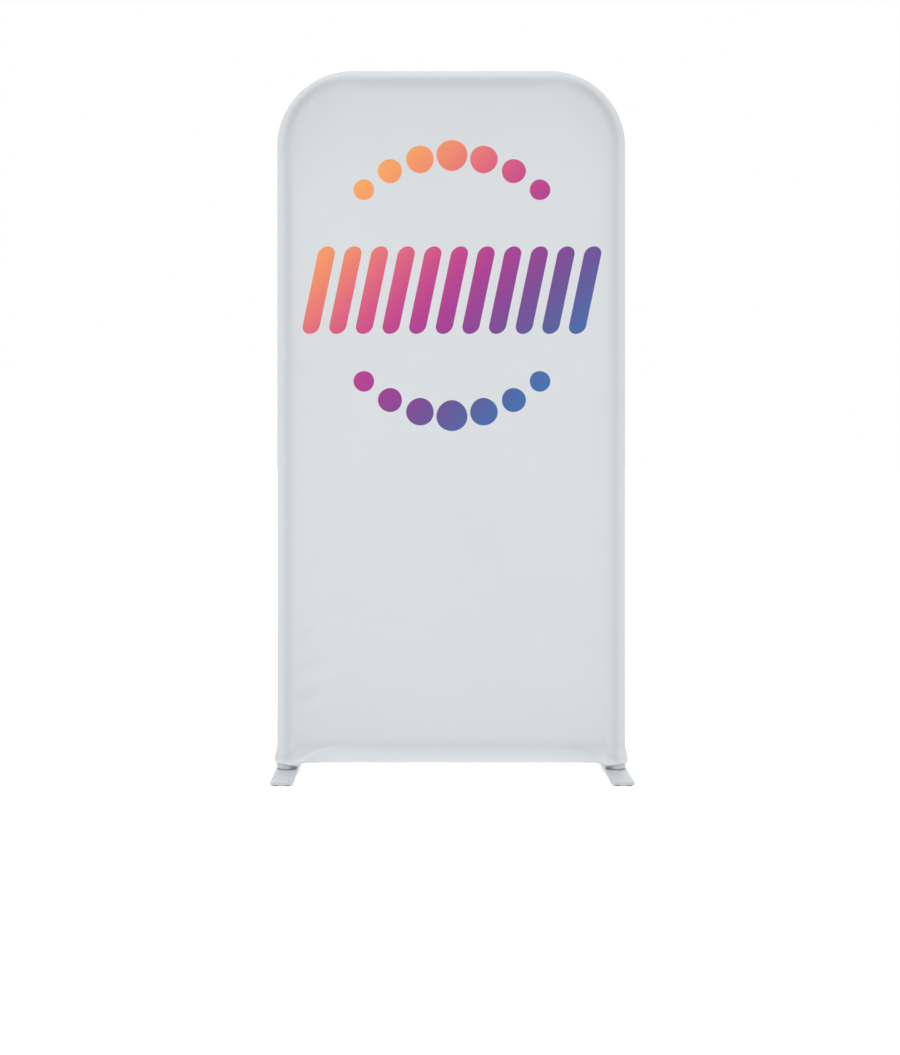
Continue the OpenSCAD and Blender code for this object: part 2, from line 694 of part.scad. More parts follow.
// Snap buttons
left() at_rail() snap_button();  // rail_button_left
right() at_rail() snap_button();  // rail_button_right
left() at_fitting() snap_button();  // foot_button_left
right() at_fitting() snap_button();  // foot_button_right
left() at_mid() snap_button();  // mid_button_left
right() at_mid() snap_button();  // mid_button_right
left() at_shoulder() snap_button();  // shoulder_button_left
right() at_shoulder() snap_button();  // shoulder_button_right
at_top() snap_button();  // top_button

// Spring clips behind the buttons
left() at_rail() snap_clip();  // rail_clip_left
right() at_rail() snap_clip();  // rail_clip_right
left() at_fitting() snap_clip();  // foot_clip_left
right() at_fitting() snap_clip();  // foot_clip_right
left() at_mid() snap_clip();  // mid_clip_left
right() at_mid() snap_clip();  // mid_clip_right
left() at_shoulder() snap_clip();  // shoulder_clip_left
right() at_shoulder() snap_clip();  // shoulder_clip_right
at_top() snap_clip();  // top_clip

// Feet
left() foot_washer();  // foot_washer_left
right() foot_washer();  // foot_washer_right
left() foot_screw();  // foot_screw_left
right() foot_screw();  // foot_screw_right
left() foot_plate();  // foot_plate_left
right() foot_plate();  // foot_plate_right
left() foot_pads();  // foot_pads_left
right() foot_pads();  // foot_pads_right

// Cover and zip
cover_front();
cover_back();
zip_tape(1);  // zip_tape_upper
zip_tape(-1);  // zip_tape_lower
zip_teeth(1);  // zip_teeth_upper
zip_teeth(-1);  // zip_teeth_lower
zip_stops();
zip_slider();
zip_pull();
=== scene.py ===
"""Looks of a tabletop banner display: stretch cover, printed face, tube frame, zip and feet."""

import logging
import math
from dataclasses import dataclass
from enum import Enum
from typing import Iterable, Sequence

import bmesh
import bpy
import numpy as np
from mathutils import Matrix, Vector
from mathutils.bvhtree import BVHTree


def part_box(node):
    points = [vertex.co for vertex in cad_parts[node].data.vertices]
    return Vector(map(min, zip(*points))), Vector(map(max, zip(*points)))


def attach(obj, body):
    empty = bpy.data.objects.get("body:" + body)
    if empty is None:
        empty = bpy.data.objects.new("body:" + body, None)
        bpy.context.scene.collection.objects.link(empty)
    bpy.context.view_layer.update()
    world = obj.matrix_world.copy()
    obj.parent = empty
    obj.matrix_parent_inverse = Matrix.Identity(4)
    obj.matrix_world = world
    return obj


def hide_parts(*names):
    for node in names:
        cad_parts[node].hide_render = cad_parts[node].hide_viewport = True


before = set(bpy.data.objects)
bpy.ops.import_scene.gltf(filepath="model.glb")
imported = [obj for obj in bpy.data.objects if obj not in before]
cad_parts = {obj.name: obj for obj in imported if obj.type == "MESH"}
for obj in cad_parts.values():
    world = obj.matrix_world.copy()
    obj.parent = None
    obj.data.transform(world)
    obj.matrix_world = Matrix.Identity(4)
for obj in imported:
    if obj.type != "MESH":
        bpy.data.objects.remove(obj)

LOG = logging.getLogger("banner")
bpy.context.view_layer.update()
MM = 0.001
Colour = tuple[float, float, float, float]
Triple = tuple[float, float, float]
Pair = tuple[float, float]
Array = np.ndarray
Socket = bpy.types.NodeSocket
WHITE: Colour = (1, 1, 1, 1)


def srgb(red: float, green: float, blue: float) -> Colour:
    """Turn a display colour, from 0 to 255, into the linear one that shaders take."""
    shares = (red / 255, green / 255, blue / 255)
    return (*(s / 12.92 if s <= 0.04045 else ((s + 0.055) / 1.055) ** 2.4 for s in shares), 1.0)


def eased(share: Array) -> Array:
    """Smooth step of a share that is clipped to the range from 0 to 1."""
    held = np.clip(share, 0, 1)
    return held * held * (3 - 2 * held)


def rising(value: Array, start: float, end: float) -> Array:
    """Smooth rise from 0 at the start to 1 at the end, which may lie below the start."""
    return eased((value - start) / (end - start))


def bell(away: Array, width: float = 1.0) -> Array:
    """Bell curve over a distance, 1 where it is 0."""
    return np.exp(-((away / width) ** 2))


def wavy(along: Array, other: Array, rate: float, sway: float, pace: float) -> Array:
    """Waves along one axis that sway with another one."""
    return np.sin(along * rate + sway * np.sin(other * pace))


def between(start: Array, end: Array, share: Array) -> Array:
    """Value at a share of the way from start to end."""
    return start + (end - start) * share


def points_of(*parts: Array) -> Array:
    """Points from one array or number for each axis."""
    return np.stack(np.broadcast_arrays(*parts), axis=-1)


def unit(ways: Array) -> Array:
    """Ways of length 1."""
    return ways / np.linalg.norm(ways, axis=-1, keepdims=True)


def run_along(points: Array) -> Array:
    """Distance along each row of points, from its first one."""
    step = np.linalg.norm(np.diff(points, axis=-2), axis=-1)
    return np.concatenate([np.zeros((*step.shape[:-1], 1)), np.cumsum(step, axis=-1)], axis=-1)


def through(knots: Sequence[float], values: Sequence[float], at: Array) -> Array:
    """Read a smooth curve that passes through given values.

    Args:
        knots: Rising places along the curve.
        values: The curve's value at each knot.
        at: Triples to read.

    Returns:
        The curve's values there, by cubic pieces with matching slopes.
    """
    x, y = np.asarray(knots, float), np.asarray(values, float)
    slope = np.gradient(y, x)
    i = np.clip(np.searchsorted(x, at, side="right") - 1, 0, len(x) - 2)
    step = x[i + 1] - x[i]
    t = np.clip((at - x[i]) / step, 0, 1)
    return (
        y[i] * (2 * t**3 - 3 * t**2 + 1)
        + slope[i] * step * (t**3 - 2 * t**2 + t)
        + y[i + 1] * (3 * t**2 - 2 * t**3)
        + slope[i + 1] * step * (t**3 - t**2)
    )


def grid_faces(
        rows: int, length: int, closed: tuple[bool, bool] = (False, False),
        skip: Sequence[int] = (),
) -> Array:
    """Faces of a grid of points that are numbered row by row.

    Args:
        rows: Number of rows.
        length: Number of points in a row.
        closed: Whether the last row meets the first, and whether each row is a ring.
        skip: Rows that no face follows.

    Returns:
        Corner numbers of each face.
    """
    strips = [row for row in range(rows - (not closed[0])) if row not in skip]
    i, j = np.meshgrid(strips, np.arange(length - (not closed[1])), indexing="ij")
    a, b = i * length + j, (i + 1) % rows * length + j
    ahead = (j + 1) % length - j
    return np.stack([a, a + ahead, b + ahead, b], -1).reshape(-1, 4)


def placed(name: str, data: bpy.types.ID) -> bpy.types.Object:
    """Put a new object into the scene.

    Args:
        name: Name of the object.
        data: Its mesh, lamp or camera.

    Returns:
        The new object.
    """
    thing = bpy.data.objects.new(name, data)
    bpy.context.scene.collection.objects.link(thing)
    return thing


def smoothed(mesh: bpy.types.Mesh) -> None:
    """Shade every face of a mesh smooth."""
    mesh.polygons.foreach_set("use_smooth", np.ones(len(mesh.polygons), bool))


@dataclass(frozen=True)
class FrameLines:
    """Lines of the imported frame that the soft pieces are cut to, in metres."""

    skin_r: float
    post_x: float
    rail_z: float
    top_z: float
    bend_x: float
    bend_z: float
    plate_half_w: float
    plate_half_l: float
    zip_z: float

    @classmethod
    def measured(cls, cloth: float, slack: float, leg: float) -> "FrameLines":
        """Read the lines off the frame's own nodes.

        Args:
            cloth: Thickness of the cover's fabric.
            slack: Gap between the fabric and the tubes.
            leg: Straight length of tube below each top bend.

        Returns:
            The lines of this frame.
        """
        rail_low, rail_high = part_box("bottom_rail")
        post_low, post_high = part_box("upper_upright_right")
        bend_low, bend_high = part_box("top_bend_right")
        plate_low, plate_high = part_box("foot_plate_right")
        lower_low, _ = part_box("zip_tape_lower")
        _, upper_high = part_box("zip_tape_upper")
        tube_r = (rail_high.z - rail_low.z) / 2
        post_x = (post_low.x + post_high.x) / 2
        top_z = bend_high.z - tube_r
        turn = top_z - bend_low.z - leg
        return cls(
            skin_r=tube_r + slack + cloth,
            post_x=post_x,
            rail_z=(rail_low.z + rail_high.z) / 2,
            top_z=top_z,
            bend_x=post_x - turn,
            bend_z=top_z - turn,
            plate_half_w=(plate_high.x - plate_low.x) / 2,
            plate_half_l=(plate_high.y - plate_low.y) / 2,
            zip_z=(lower_low.z + upper_high.z) / 2,
        )


class NodeBench:
    """Bench on which the nodes of one material, or of the world, are laid out."""

    def __init__(self, name: str, world: bool = False) -> None:
        """Start a material, or a world, with a first shader that is wired to its output.

        Args:
            name: Name of the material or world.
            world: Whether it is a world.
        """
        owners = bpy.data.worlds if world else bpy.data.materials
        kinds = ("OutputWorld", "Background") if world else ("OutputMaterial", "BsdfPrincipled")
        self.owner = owners.new(name)
        self.owner.use_nodes = True
        self.tree = self.owner.node_tree
        self.tree.nodes.clear()
        self.output, self.surface = (self.add(kind) for kind in kinds)
        self.show(self.surface.outputs[0])

    def add(
            self, kind: str, feeds: dict[str, object] | None = None, **settings: object,
    ) -> bpy.types.Node:
        """Add one node.

        Args:
            kind: Blender's name of the node's type, without its first part.
            feeds: Sockets or values that go in, by name.
            settings: Node settings by name.

        Returns:
            The new node.
        """
        node = self.tree.nodes.new("ShaderNode" + kind)
        for name, value in settings.items():
            setattr(node, name, value)
        for name, value in (feeds or {}).items():
            self.feed(node.inputs[name], value)
        return node

    def put(self, kind: str, *values: object, **settings: object) -> Socket:
        """Add one node whose inputs are fed in order.

        Args:
            kind: Blender's name of the node's type, without its first part.
            values: Sockets or values that go in.
            settings: Node settings by name.

        Returns:
            The first output's socket.
        """
        node = self.add(kind, **settings)
        for socket, value in zip(node.inputs, values):
            self.feed(socket, value)
        return node.outputs[0]

    def feed(self, socket: Socket, value: object) -> None:
        """Link a socket into an input, or set the input to a plain value.

        Args:
            socket: The input.
            value: The socket or the value.
        """
        if isinstance(value, bpy.types.NodeSocket):
            self.tree.links.new(value, socket)
        else:
            socket.default_value = value

    def set(self, **values: object) -> None:
        """Feed the surface's inputs, named with underscores for spaces."""
        for name, value in values.items():
            self.feed(self.surface.inputs[name.replace("_", " ")], value)

    def show(self, shader: Socket) -> None:
        """Wire a shader to the output."""
        self.feed(self.output.inputs["Surface"], shader)

    def sum(self, operation: str, *values: object) -> Socket:
        """Do one sum, by Blender's name of the Math operation."""
        return self.put("Math", *values, operation=operation)

    def apart(self, x: Socket, y: Socket) -> Socket:
        """Length of a way that goes x across and y along."""
        squares = self.sum("MULTIPLY", x, x), self.sum("MULTIPLY", y, y)
        return self.sum("SQRT", self.sum("ADD", *squares))

    def nearest(self, value: Socket, pitch: float, count: int) -> Socket:
        """Number of the mark that is nearest, in a row of marks with one in its middle.

        Args:
            value: Triple along the row, from its middle.
            pitch: Distance from mark to mark.
            count: Number of marks.

        Returns:
            The number's socket, 0 for the mark in the middle.
        """
        last = (count - 1) / 2
        number = self.sum("ROUND", self.sum("DIVIDE", value, pitch))
        return self.sum("MINIMUM", self.sum("MAXIMUM", number, -last), last)

    def band(
            self, value: Socket, low: float, high: float, from_: float = 0, to: float = 1,
    ) -> Socket:
        """Map a value smoothly from one range to another.

        Args:
            value: The value that is mapped.
            low: Start of the value's range.
            high: End of the value's range, which may be below its start.
            from_: Result at the start.
            to: Result at the end.

        Returns:
            The mapped value's socket.
        """
        if low > high:
            low, high, from_, to = high, low, to, from_
        feeds = {"Value": value, "From Min": low, "From Max": high, "To Min": from_, "To Max": to}
        return self.add("MapRange", feeds, interpolation_type="SMOOTHSTEP").outputs["Result"]

    def blend(self, share: object, first: object, second: object) -> Socket:
        """Mix two colours, by the share of the second."""
        feeds = {"Factor": share, "A": first, "B": second}
        return self.add("Mix", feeds, data_type="RGBA").outputs["Result"]

    def split(self, vector: Socket) -> tuple[Socket, Socket, Socket]:
        """Parts of a vector."""
        return tuple(self.add("SeparateXYZ", {"Vector": vector}).outputs)

    def point(self) -> Socket:
        """Place on the piece as a vector socket, in metres."""
        return self.add("TexCoord").outputs["Object"]

    def stretched(self, vector: Socket, scale: Triple) -> Socket:
        """Scale a place by a factor on each axis."""
        return self.add("Mapping", {"Vector": vector, "Scale": scale}).outputs[0]

    def noise(self, vector: Socket, scale: float, detail: float, rough: float) -> Socket:
        """Cloudy noise.

        Args:
            vector: Triple that the noise is read at.
            scale: Waves in a unit of that place.
            detail: Number of finer layers.
            rough: Strength of the finer layers.

        Returns:
            The noise's socket, about 0.5 in the middle.
        """
        feeds = {"Vector": vector, "Scale": scale, "Detail": detail, "Roughness": rough}
        return self.add("TexNoise", feeds).outputs["Fac"]

    def ribs(self, along: Socket, pitch: float, shift: object = 0.0) -> Socket:
        """Rows of ribs.

        Args:
            along: Coordinate that the rows are counted on, in metres.
            pitch: Distance from row to row, in metres.
            shift: Phase that is added, in turns.

        Returns:
            A socket that runs from -1 between ribs to 1 on a rib.
        """
        turns = self.sum("ADD", self.sum("MULTIPLY", along, 1 / pitch), shift)
        return self.sum("SINE", self.sum("MULTIPLY", turns, 2 * math.pi))

    def relief(self, height: Socket, depth: float, strength: float) -> Socket:
        """Normal of a relief with a height from 0 to 1 and a real depth, by how much it shows."""
        feeds = {"Height": height, "Distance": depth, "Strength": strength}
        return self.add("Bump", feeds).outputs[0]

    def ramp(self, share: Socket, stops: Sequence[tuple[float, Colour]]) -> Socket:
        """Colour along a run of stops.

        Args:
            share: Triple on the run, from 0 to 1.
            stops: Rising places with their colours.

        Returns:
            The colour's socket.
        """
        node = self.add("ValToRGB", {"Fac": share})
        node.color_ramp.interpolation = "B_SPLINE"
        marks = node.color_ramp.elements
        while len(marks) < len(stops):
            marks.new(1.0)
        for mark, (place, colour) in zip(marks, stops):
            mark.position, mark.color = place, colour
        return node.outputs["Color"]


@dataclass(frozen=True)
class Clouds:
    """Cloudy noise, and the band of it that goes from clear to full."""

    scale: float
    layers: float
    rough: float
    low: float
    high: float

    def at(self, bench: NodeBench, place: Socket) -> Socket:
        """Share of cloud at a place."""
        noise = bench.noise(place, self.scale, self.layers, self.rough)
        return bench.band(noise, self.low, self.high)


@dataclass(frozen=True)
class PrintedFace:
    """Dye print on the front: slanted bars in a band, with an arc of dots above and below."""

    centre_x: float = 1 * MM
    centre_z: float = 852 * MM
    band_z: float = 844 * MM
    bar_w: float = 30 * MM
    bar_pitch: float = 46.5 * MM
    bars: int = 11
    band_h: float = 153 * MM
    slant: float = 0.21
    arc_r: float = 227 * MM
    dot_step: float = math.radians(14.2)
    dot_r: float = 27 * MM
    dot_shrink: float = 3 * MM
    dots: int = 7
    soft_edge: float = 0.5 * MM
    run: float = 690 * MM
    dyes: tuple[tuple[float, Colour], ...] = (
        (0.00, srgb(253, 172, 84)),
        (0.16, srgb(243, 130, 98)),
        (0.30, srgb(222, 84, 122)),
        (0.44, srgb(193, 42, 134)),
        (0.58, srgb(158, 34, 142)),
        (0.72, srgb(112, 52, 142)),
        (0.86, srgb(72, 82, 152)),
        (1.00, srgb(38, 106, 176)),
    )

    def bar_reach(self, bench: NodeBench, x: Socket, z: Socket) -> Socket:
        """Distance to the nearest slanted bar.

        Args:
            bench: Bench of the fabric's material.
            x: Triple across the cloth, from the print's middle.
            z: Height on the cloth.

        Returns:
            The distance's socket, in metres, below zero inside the bar.
        """
        half_w, rest = self.bar_w / 2, self.band_h / 2 - self.bar_w / 2
        up = bench.sum("SUBTRACT", z, self.band_z)
        level = bench.sum("SUBTRACT", x, bench.sum("MULTIPLY", up, self.slant))
        bar = bench.nearest(level, self.bar_pitch, self.bars)
        aside = bench.sum("SUBTRACT", level, bench.sum("MULTIPLY", bar, self.bar_pitch))
        above = bench.sum("MAXIMUM", bench.sum("SUBTRACT", bench.sum("ABSOLUTE", up), rest), 0.0)
        return bench.sum("SUBTRACT", bench.apart(aside, above), half_w)

    def dot_reach(self, bench: NodeBench, x: Socket, z: Socket) -> Socket:
        """Distance to the nearest dot of the two arcs.

        Args:
            bench: Bench of the fabric's material.
            x: Triple across the cloth, from the print's middle.
            z: Height on the cloth.

        Returns:
            The distance's socket, in metres, below zero inside the dot.
        """
        up = bench.sum("ABSOLUTE", bench.sum("SUBTRACT", z, self.centre_z))
        turn = bench.sum("ARCTAN2", x, up)
        dot = bench.nearest(turn, self.dot_step, self.dots)
        off = bench.sum("SUBTRACT", turn, bench.sum("MULTIPLY", dot, self.dot_step))
        aside = bench.sum("MULTIPLY", off, self.arc_r)
        beyond = bench.sum("SUBTRACT", bench.apart(x, up), self.arc_r)
        shrunk = bench.sum("MULTIPLY", bench.sum("ABSOLUTE", dot), self.dot_shrink)
        size = bench.sum("SUBTRACT", self.dot_r, shrunk)
        return bench.sum("SUBTRACT", bench.apart(aside, beyond), size)

    def dyed(self, bench: NodeBench, x: Socket, z: Socket) -> tuple[Socket, Socket]:
        """Where the print is and which colour it has.

        Args:
            bench: Bench of the fabric's material.
            x: Triple across the cloth, in metres.
            z: Height on the cloth, in metres.

        Returns:
            A socket that is 1 where dye lies, and the dye's colour.
        """
        across = bench.sum("SUBTRACT", x, self.centre_x)
        reaches = (part(bench, across, z) for part in (self.bar_reach, self.dot_reach))
        laid = bench.band(bench.sum("MINIMUM", *reaches), self.soft_edge, -self.soft_edge)
        fall = bench.sum("SUBTRACT", across, bench.sum("SUBTRACT", z, self.centre_z))
        share = bench.sum("ADD", bench.sum("DIVIDE", fall, self.run), 0.5)
        return laid, bench.ramp(share, self.dyes)


@dataclass(frozen=True)
class StretchKnit:
    """Pale stretch knit of the cover, with the tubes faintly showing through it, and with painted
    shade and painted light over its tubes, folds, corners and hem.
    """

    shade: Colour = srgb(220, 224, 227)
    # darker colour for the tubes seen through the cloth and for painted shade
    tube_and_painted_tone: Colour = srgb(191, 195, 199)
    # paler colour for the two-layer hem and for painted light: bounce from the floor, fold
    # highlights and glints
    hem_and_painted_light: Colour = srgb(240, 243, 246)
    mottle: Colour = srgb(218, 222, 225)
    # painted shade in the pits between the yarns
    pit_shade: Colour = srgb(120, 126, 132)
    clouds: Clouds = Clouds(3.5, 3, 0.6, 0.3, 0.8)
    nap: Triple = (900, 2, 0.6)
    wale: float = 1.15 * MM
    course: float = 1.5 * MM
    zigzag: float = 0.18
    wale_share: float = 0.3
    course_share: float = 0.15
    yarn_share: float = 0.5
    dye_grain: tuple[float, ...] = (0.25, 0.8, 0.93, 1.0)
    pit_shade_band: tuple[float, ...] = (0.1, 0.9, 0.025, 0.0)
    rough: tuple[float, ...] = (0.3, 0.7, 0.78, 0.9)
    relief: float = 0.05 * MM

    def material(self, name: str, face: PrintedFace | None = None) -> bpy.types.Material:
        """Make the fabric, plain or with the print on it.

        Args:
            name: Name of the material.
            face: Print that is dyed into the cloth.

        Returns:
            The finished material.
        """
        bench = NodeBench(name)
        cloth = bench.add("UVMap", uv_map="cloth").outputs[0]
        x, z, _ = bench.split(cloth)
        # tone per point: above 0 the tubes seen through the cloth plus painted shade, below 0 the
        # two-layer hem plus painted light
        near = bench.add("Attribute", attribute_name="tube_and_painted_tone").outputs["Fac"]
        colour = bench.blend(self.clouds.at(bench, cloth), self.shade, self.mottle)
        colour = bench.blend(near, colour, self.tube_and_painted_tone)
        colour = bench.blend(bench.sum("MULTIPLY", near, -1.0), colour, self.hem_and_painted_light)
        courses = bench.ribs(z, self.course)
        wales = bench.ribs(x, self.wale, bench.sum("MULTIPLY", courses, self.zigzag))
        nap = bench.noise(cloth, *self.nap)
        if face is not None:
            laid, dye = face.dyed(bench, x, z)
            grain = bench.band(nap, *self.dye_grain)
            colour = bench.blend(bench.sum("MULTIPLY", laid, grain), colour, dye)
        yarn = bench.sum(
            "ADD", bench.sum("MULTIPLY", wales, self.wale_share),
            bench.sum("MULTIPLY", courses, self.course_share))
        height = bench.sum("ADD", bench.sum("MULTIPLY", yarn, self.yarn_share), nap)
        bench.set(
            # painted shade darkens the knit's pits by their height
            Base_Color=bench.blend(bench.band(height, *self.pit_shade_band), colour, self.pit_shade),
            Roughness=bench.band(nap, *self.rough),
            Specular_IOR_Level=0.28,
            Sheen_Weight=0.22,
            Sheen_Roughness=0.45,
            Sheen_Tint=srgb(246, 249, 252),
            Normal=bench.relief(height, self.relief, 0.7),
        )
        return bench.owner


@dataclass(frozen=True)
class PaintedSteel:
    """Satin silver-grey powder coat, rubbed along the plates' edges, with painted shade on the
    necks' inner side.
    """

    shade: Colour = srgb(213, 217, 220)
    dust: Colour = srgb(205, 209, 212)
    rubbed: Colour = srgb(182, 185, 188)
    painted_neck_shade: Colour = srgb(112, 116, 119)
    clouds: Clouds = Clouds(26, 4, 0.6, 0.38, 0.72)
    peel: Triple = (1500, 2, 0.5)
    rough: Pair = (0.4, 0.5)
    chips: Triple = (240, 3, 0.5)
    chipped: tuple[float, ...] = (0.3, 0.7, 0.3, 0.7)
    edge: Pair = (1.6 * MM, 0.2 * MM)
    scuff: Triple = (40, 900, 40)
    scratches: Clouds = Clouds(1, 2, 0.5, 0.66, 0.74)
    scratch_rough: float = 0.1
    neck_shade_w: float = 12.25 * MM
    neck_shade: float = 0.8

    def material(
            self, name: str, plates: FrameLines | None = None, necks: FrameLines | None = None,
    ) -> bpy.types.Material:
        """Make the paint.

        Args:
            name: Name of the material.
            plates: Frame lines of the foot plates, for the rub along their edges.
            necks: Frame lines of the corner fittings, for the painted shade on their necks' inner
                side.

        Returns:
            The finished material.
        """
        bench = NodeBench(name)
        point = bench.point()
        x, y, _ = bench.split(point)
        across = bench.sum("ABSOLUTE", x)
        cloud = self.clouds.at(bench, point)
        colour = bench.blend(cloud, self.shade, self.dust)
        rough = bench.band(cloud, 0, 1, *self.rough)
        # painted shade on each neck's inner side, darker towards the middle
        if necks is not None:
            inner = bench.sum("SUBTRACT", necks.post_x, across)
            neck_shade = bench.band(inner, 0, self.neck_shade_w, 0, self.neck_shade)
            colour = bench.blend(neck_shade, colour, self.painted_neck_shade)
        if plates is not None:
            aside = bench.sum("ABSOLUTE", bench.sum("SUBTRACT", across, plates.post_x))
            side = bench.sum("SUBTRACT", plates.plate_half_w, aside)
            end = bench.sum("SUBTRACT", plates.plate_half_l, bench.sum("ABSOLUTE", y))
            edge = bench.band(bench.sum("MINIMUM", side, end), *self.edge)
            chips = bench.band(bench.noise(point, *self.chips), *self.chipped)
            colour = bench.blend(bench.sum("MULTIPLY", edge, chips), colour, self.rubbed)
            scratch = self.scratches.at(bench, bench.stretched(point, self.scuff))
            rough = bench.sum("ADD", rough, bench.sum("MULTIPLY", scratch, self.scratch_rough))
        bench.set(
            Base_Color=colour,
            Metallic=0.1,
            Roughness=rough,
            Normal=bench.relief(bench.noise(point, *self.peel), 0.02 * MM, 0.5),
        )
        return bench.owner


class TubeRun(Enum):
    """Way that a tube lies, which its drawing lines follow."""

    UPRIGHT = (700.0, 700.0, 9.0)
    LEVEL = (9.0, 700.0, 700.0)


@dataclass(frozen=True)
class DrawnTube:
    """Anodised drawn aluminium with faint lines along the tube and handling marks."""

    shade: Colour = srgb(196, 199, 202)
    drawn: Colour = srgb(178, 181, 185)
    lines: Triple = (1, 3, 0.6)
    marks: Clouds = Clouds(60, 4, 0.7, 0.6, 0.75)
    mark_rough: float = 0.12
    rough: tuple[float, ...] = (0.3, 0.7, 0.26, 0.4)

    def material(self, name: str, run: TubeRun) -> bpy.types.Material:
        """Make the tube's finish.

        Args:
            name: Name of the material.
            run: Way that the tube lies.

        Returns:
            The finished material.
        """
        bench = NodeBench(name)
        point = bench.point()
        lines = bench.noise(bench.stretched(point, run.value), *self.lines)
        marks = bench.sum("MULTIPLY", self.marks.at(bench, point), self.mark_rough)
        bench.set(
            Base_Color=bench.blend(bench.band(lines, 0.35, 0.65), self.shade, self.drawn),
            Metallic=1.0,
            Roughness=bench.sum("ADD", bench.band(lines, *self.rough), marks),
            Normal=bench.relief(lines, 0.02 * MM, 0.4),
        )
        return bench.owner


@dataclass(frozen=True)
class GrainedFinish:
    """Finish in two shades that change in clouds, over a fine grain."""

    shade: Colour
    other: Colour
    rough: Pair
    clouds: Clouds = Clouds(70, 4, 0.6, 0.42, 0.72)
    grain: Triple = (900, 2, 0.5)
    grain_band: Pair = (0.3, 0.7)
    depth: float = 0.02 * MM
    strength: float = 0.5
    metal: float = 0.0
    gloss: float = 0.5

    def material(self, name: str) -> bpy.types.Material:
        """Make the finish.

        Args:
            name: Name of the material.

        Returns:
            The finished material.
        """
        bench = NodeBench(name)
        point = bench.point()
        grain = bench.noise(point, *self.grain)
        bench.set(
            Base_Color=bench.blend(self.clouds.at(bench, point), self.shade, self.other),
            Metallic=self.metal,
            Roughness=bench.band(grain, *self.grain_band, *self.rough),
            Specular_IOR_Level=self.gloss,
            Normal=bench.relief(grain, self.depth, self.strength),
        )
        return bench.owner


@dataclass(frozen=True)
class MouldedPlastic(GrainedFinish):
    """Moulded nylon or acetal with the fine grain of its mould, paler where it was handled."""


@dataclass(frozen=True)
class BrightSteel(GrainedFinish):
    """Zinc-plated or spring steel of the small hardware, a little duller in clouds."""

    shade: Colour = srgb(190, 192, 194)
    other: Colour = srgb(150, 153, 157)
    rough: Pair = (0.22, 0.42)
    clouds: Clouds = Clouds(110, 4, 0.6, 0.35, 0.7)
    grain: Triple = (520, 3, 0.6)
    depth: float = 0.015 * MM
    metal: float = 1.0


@dataclass(frozen=True)
class PadRubber(GrainedFinish):
    """Soft grey rubber of the foot pads, dusty from the table."""

    shade: Colour = srgb(74, 76, 79)
    other: Colour = srgb(112, 113, 114)
    rough: Pair = (0.72, 0.9)
    clouds: Clouds = Clouds(260, 4, 0.7, 0.45, 0.7)
    grain: Triple = (1400, 2, 0.5)
    depth: float = 0.04 * MM
    strength: float = 0.6
    gloss: float = 0.35


@dataclass(frozen=True)
class ZipTape:
    """Woven tape of the zip, in a fine herringbone."""

    shade: Colour = srgb(208, 212, 215)
    # painted shade in the grooves of the herringbone
    groove_shade: Colour = srgb(168, 173, 178)
    rib: float = 1.1 * MM
    fold: float = 8.8 * MM
    lean: float = 1.6
    weft: float = 0.605 * MM
    weft_share: float = 0.5
    top: float = 1.4
    fuzz: Triple = (1300, 2, 0.6)
    rough: tuple[float, ...] = (0.3, 0.7, 0.76, 0.92)
    relief: float = 0.12 * MM

    def material(self, name: str) -> bpy.types.Material:
        """Make the woven tape.

        Args:
            name: Name of the material.

        Returns:
            The finished material.
        """
        bench = NodeBench(name)
        point = bench.point()
        x, _, z = bench.split(point)
        fold = bench.sum("ABSOLUTE", bench.ribs(z, self.fold))
        twill = bench.ribs(x, self.rib, bench.sum("MULTIPLY", fold, self.lean))
        weft = bench.sum("MULTIPLY", bench.ribs(z, self.weft), self.weft_share)
        height = bench.band(bench.sum("ADD", twill, weft), -self.top, self.top)
        # painted shade darkens the twill's grooves by their height
        bench.set(
            Base_Color=bench.blend(height, self.groove_shade, self.shade),
            Roughness=bench.band(bench.noise(point, *self.fuzz), *self.rough),
            Specular_IOR_Level=0.3,
            Sheen_Weight=0.2,
            Normal=bench.relief(height, self.relief, 0.7),
        )
        return bench.owner


@dataclass(frozen=True)
class SewingThread:
    """Twisted polyester thread."""

    shade: Colour = srgb(226, 229, 231)
    # painted shade in the grooves between the plies
    ply_shade: Colour = srgb(170, 175, 180)
    lean: float = 1.4
    pitch: float = 0.42 * MM
    rough: Pair = (0.62, 0.5)
    relief: float = 0.06 * MM

    def material(self, name: str) -> bpy.types.Material:
        """Make the thread, with its plies as slanting grooves.

        Args:
            name: Name of the material.

        Returns:
            The finished material.
        """
        bench = NodeBench(name)
        x, y, z = bench.split(bench.point())
        deep = bench.sum("MULTIPLY", y, self.lean)
        slant = bench.sum("ADD", x, bench.sum("ADD", z, deep))
        plies = bench.band(bench.ribs(slant, self.pitch), -1, 1)
        bench.set(
            Base_Color=bench.blend(plies, self.ply_shade, self.shade),
            Roughness=bench.band(plies, 0, 1, *self.rough),
            Sheen_Weight=0.15,
            Normal=bench.relief(plies, self.relief, 0.7),
        )
        return bench.owner


def dress(material: bpy.types.Material, nodes: Iterable[str]) -> None:
    """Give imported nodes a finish.

    Args:
        material: The finish.
        nodes: Names of the nodes.
    """
    for name in nodes:
        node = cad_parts[name]
        node.data.materials.clear()
        node.data.materials.append(material)
        LOG.info("%s: %s", name, material.name)


def both(*names: str) -> list[str]:
    """Names of the left and right node of each pair."""
    return [f"{name}_{side}" for name in names for side in ("left", "right")]


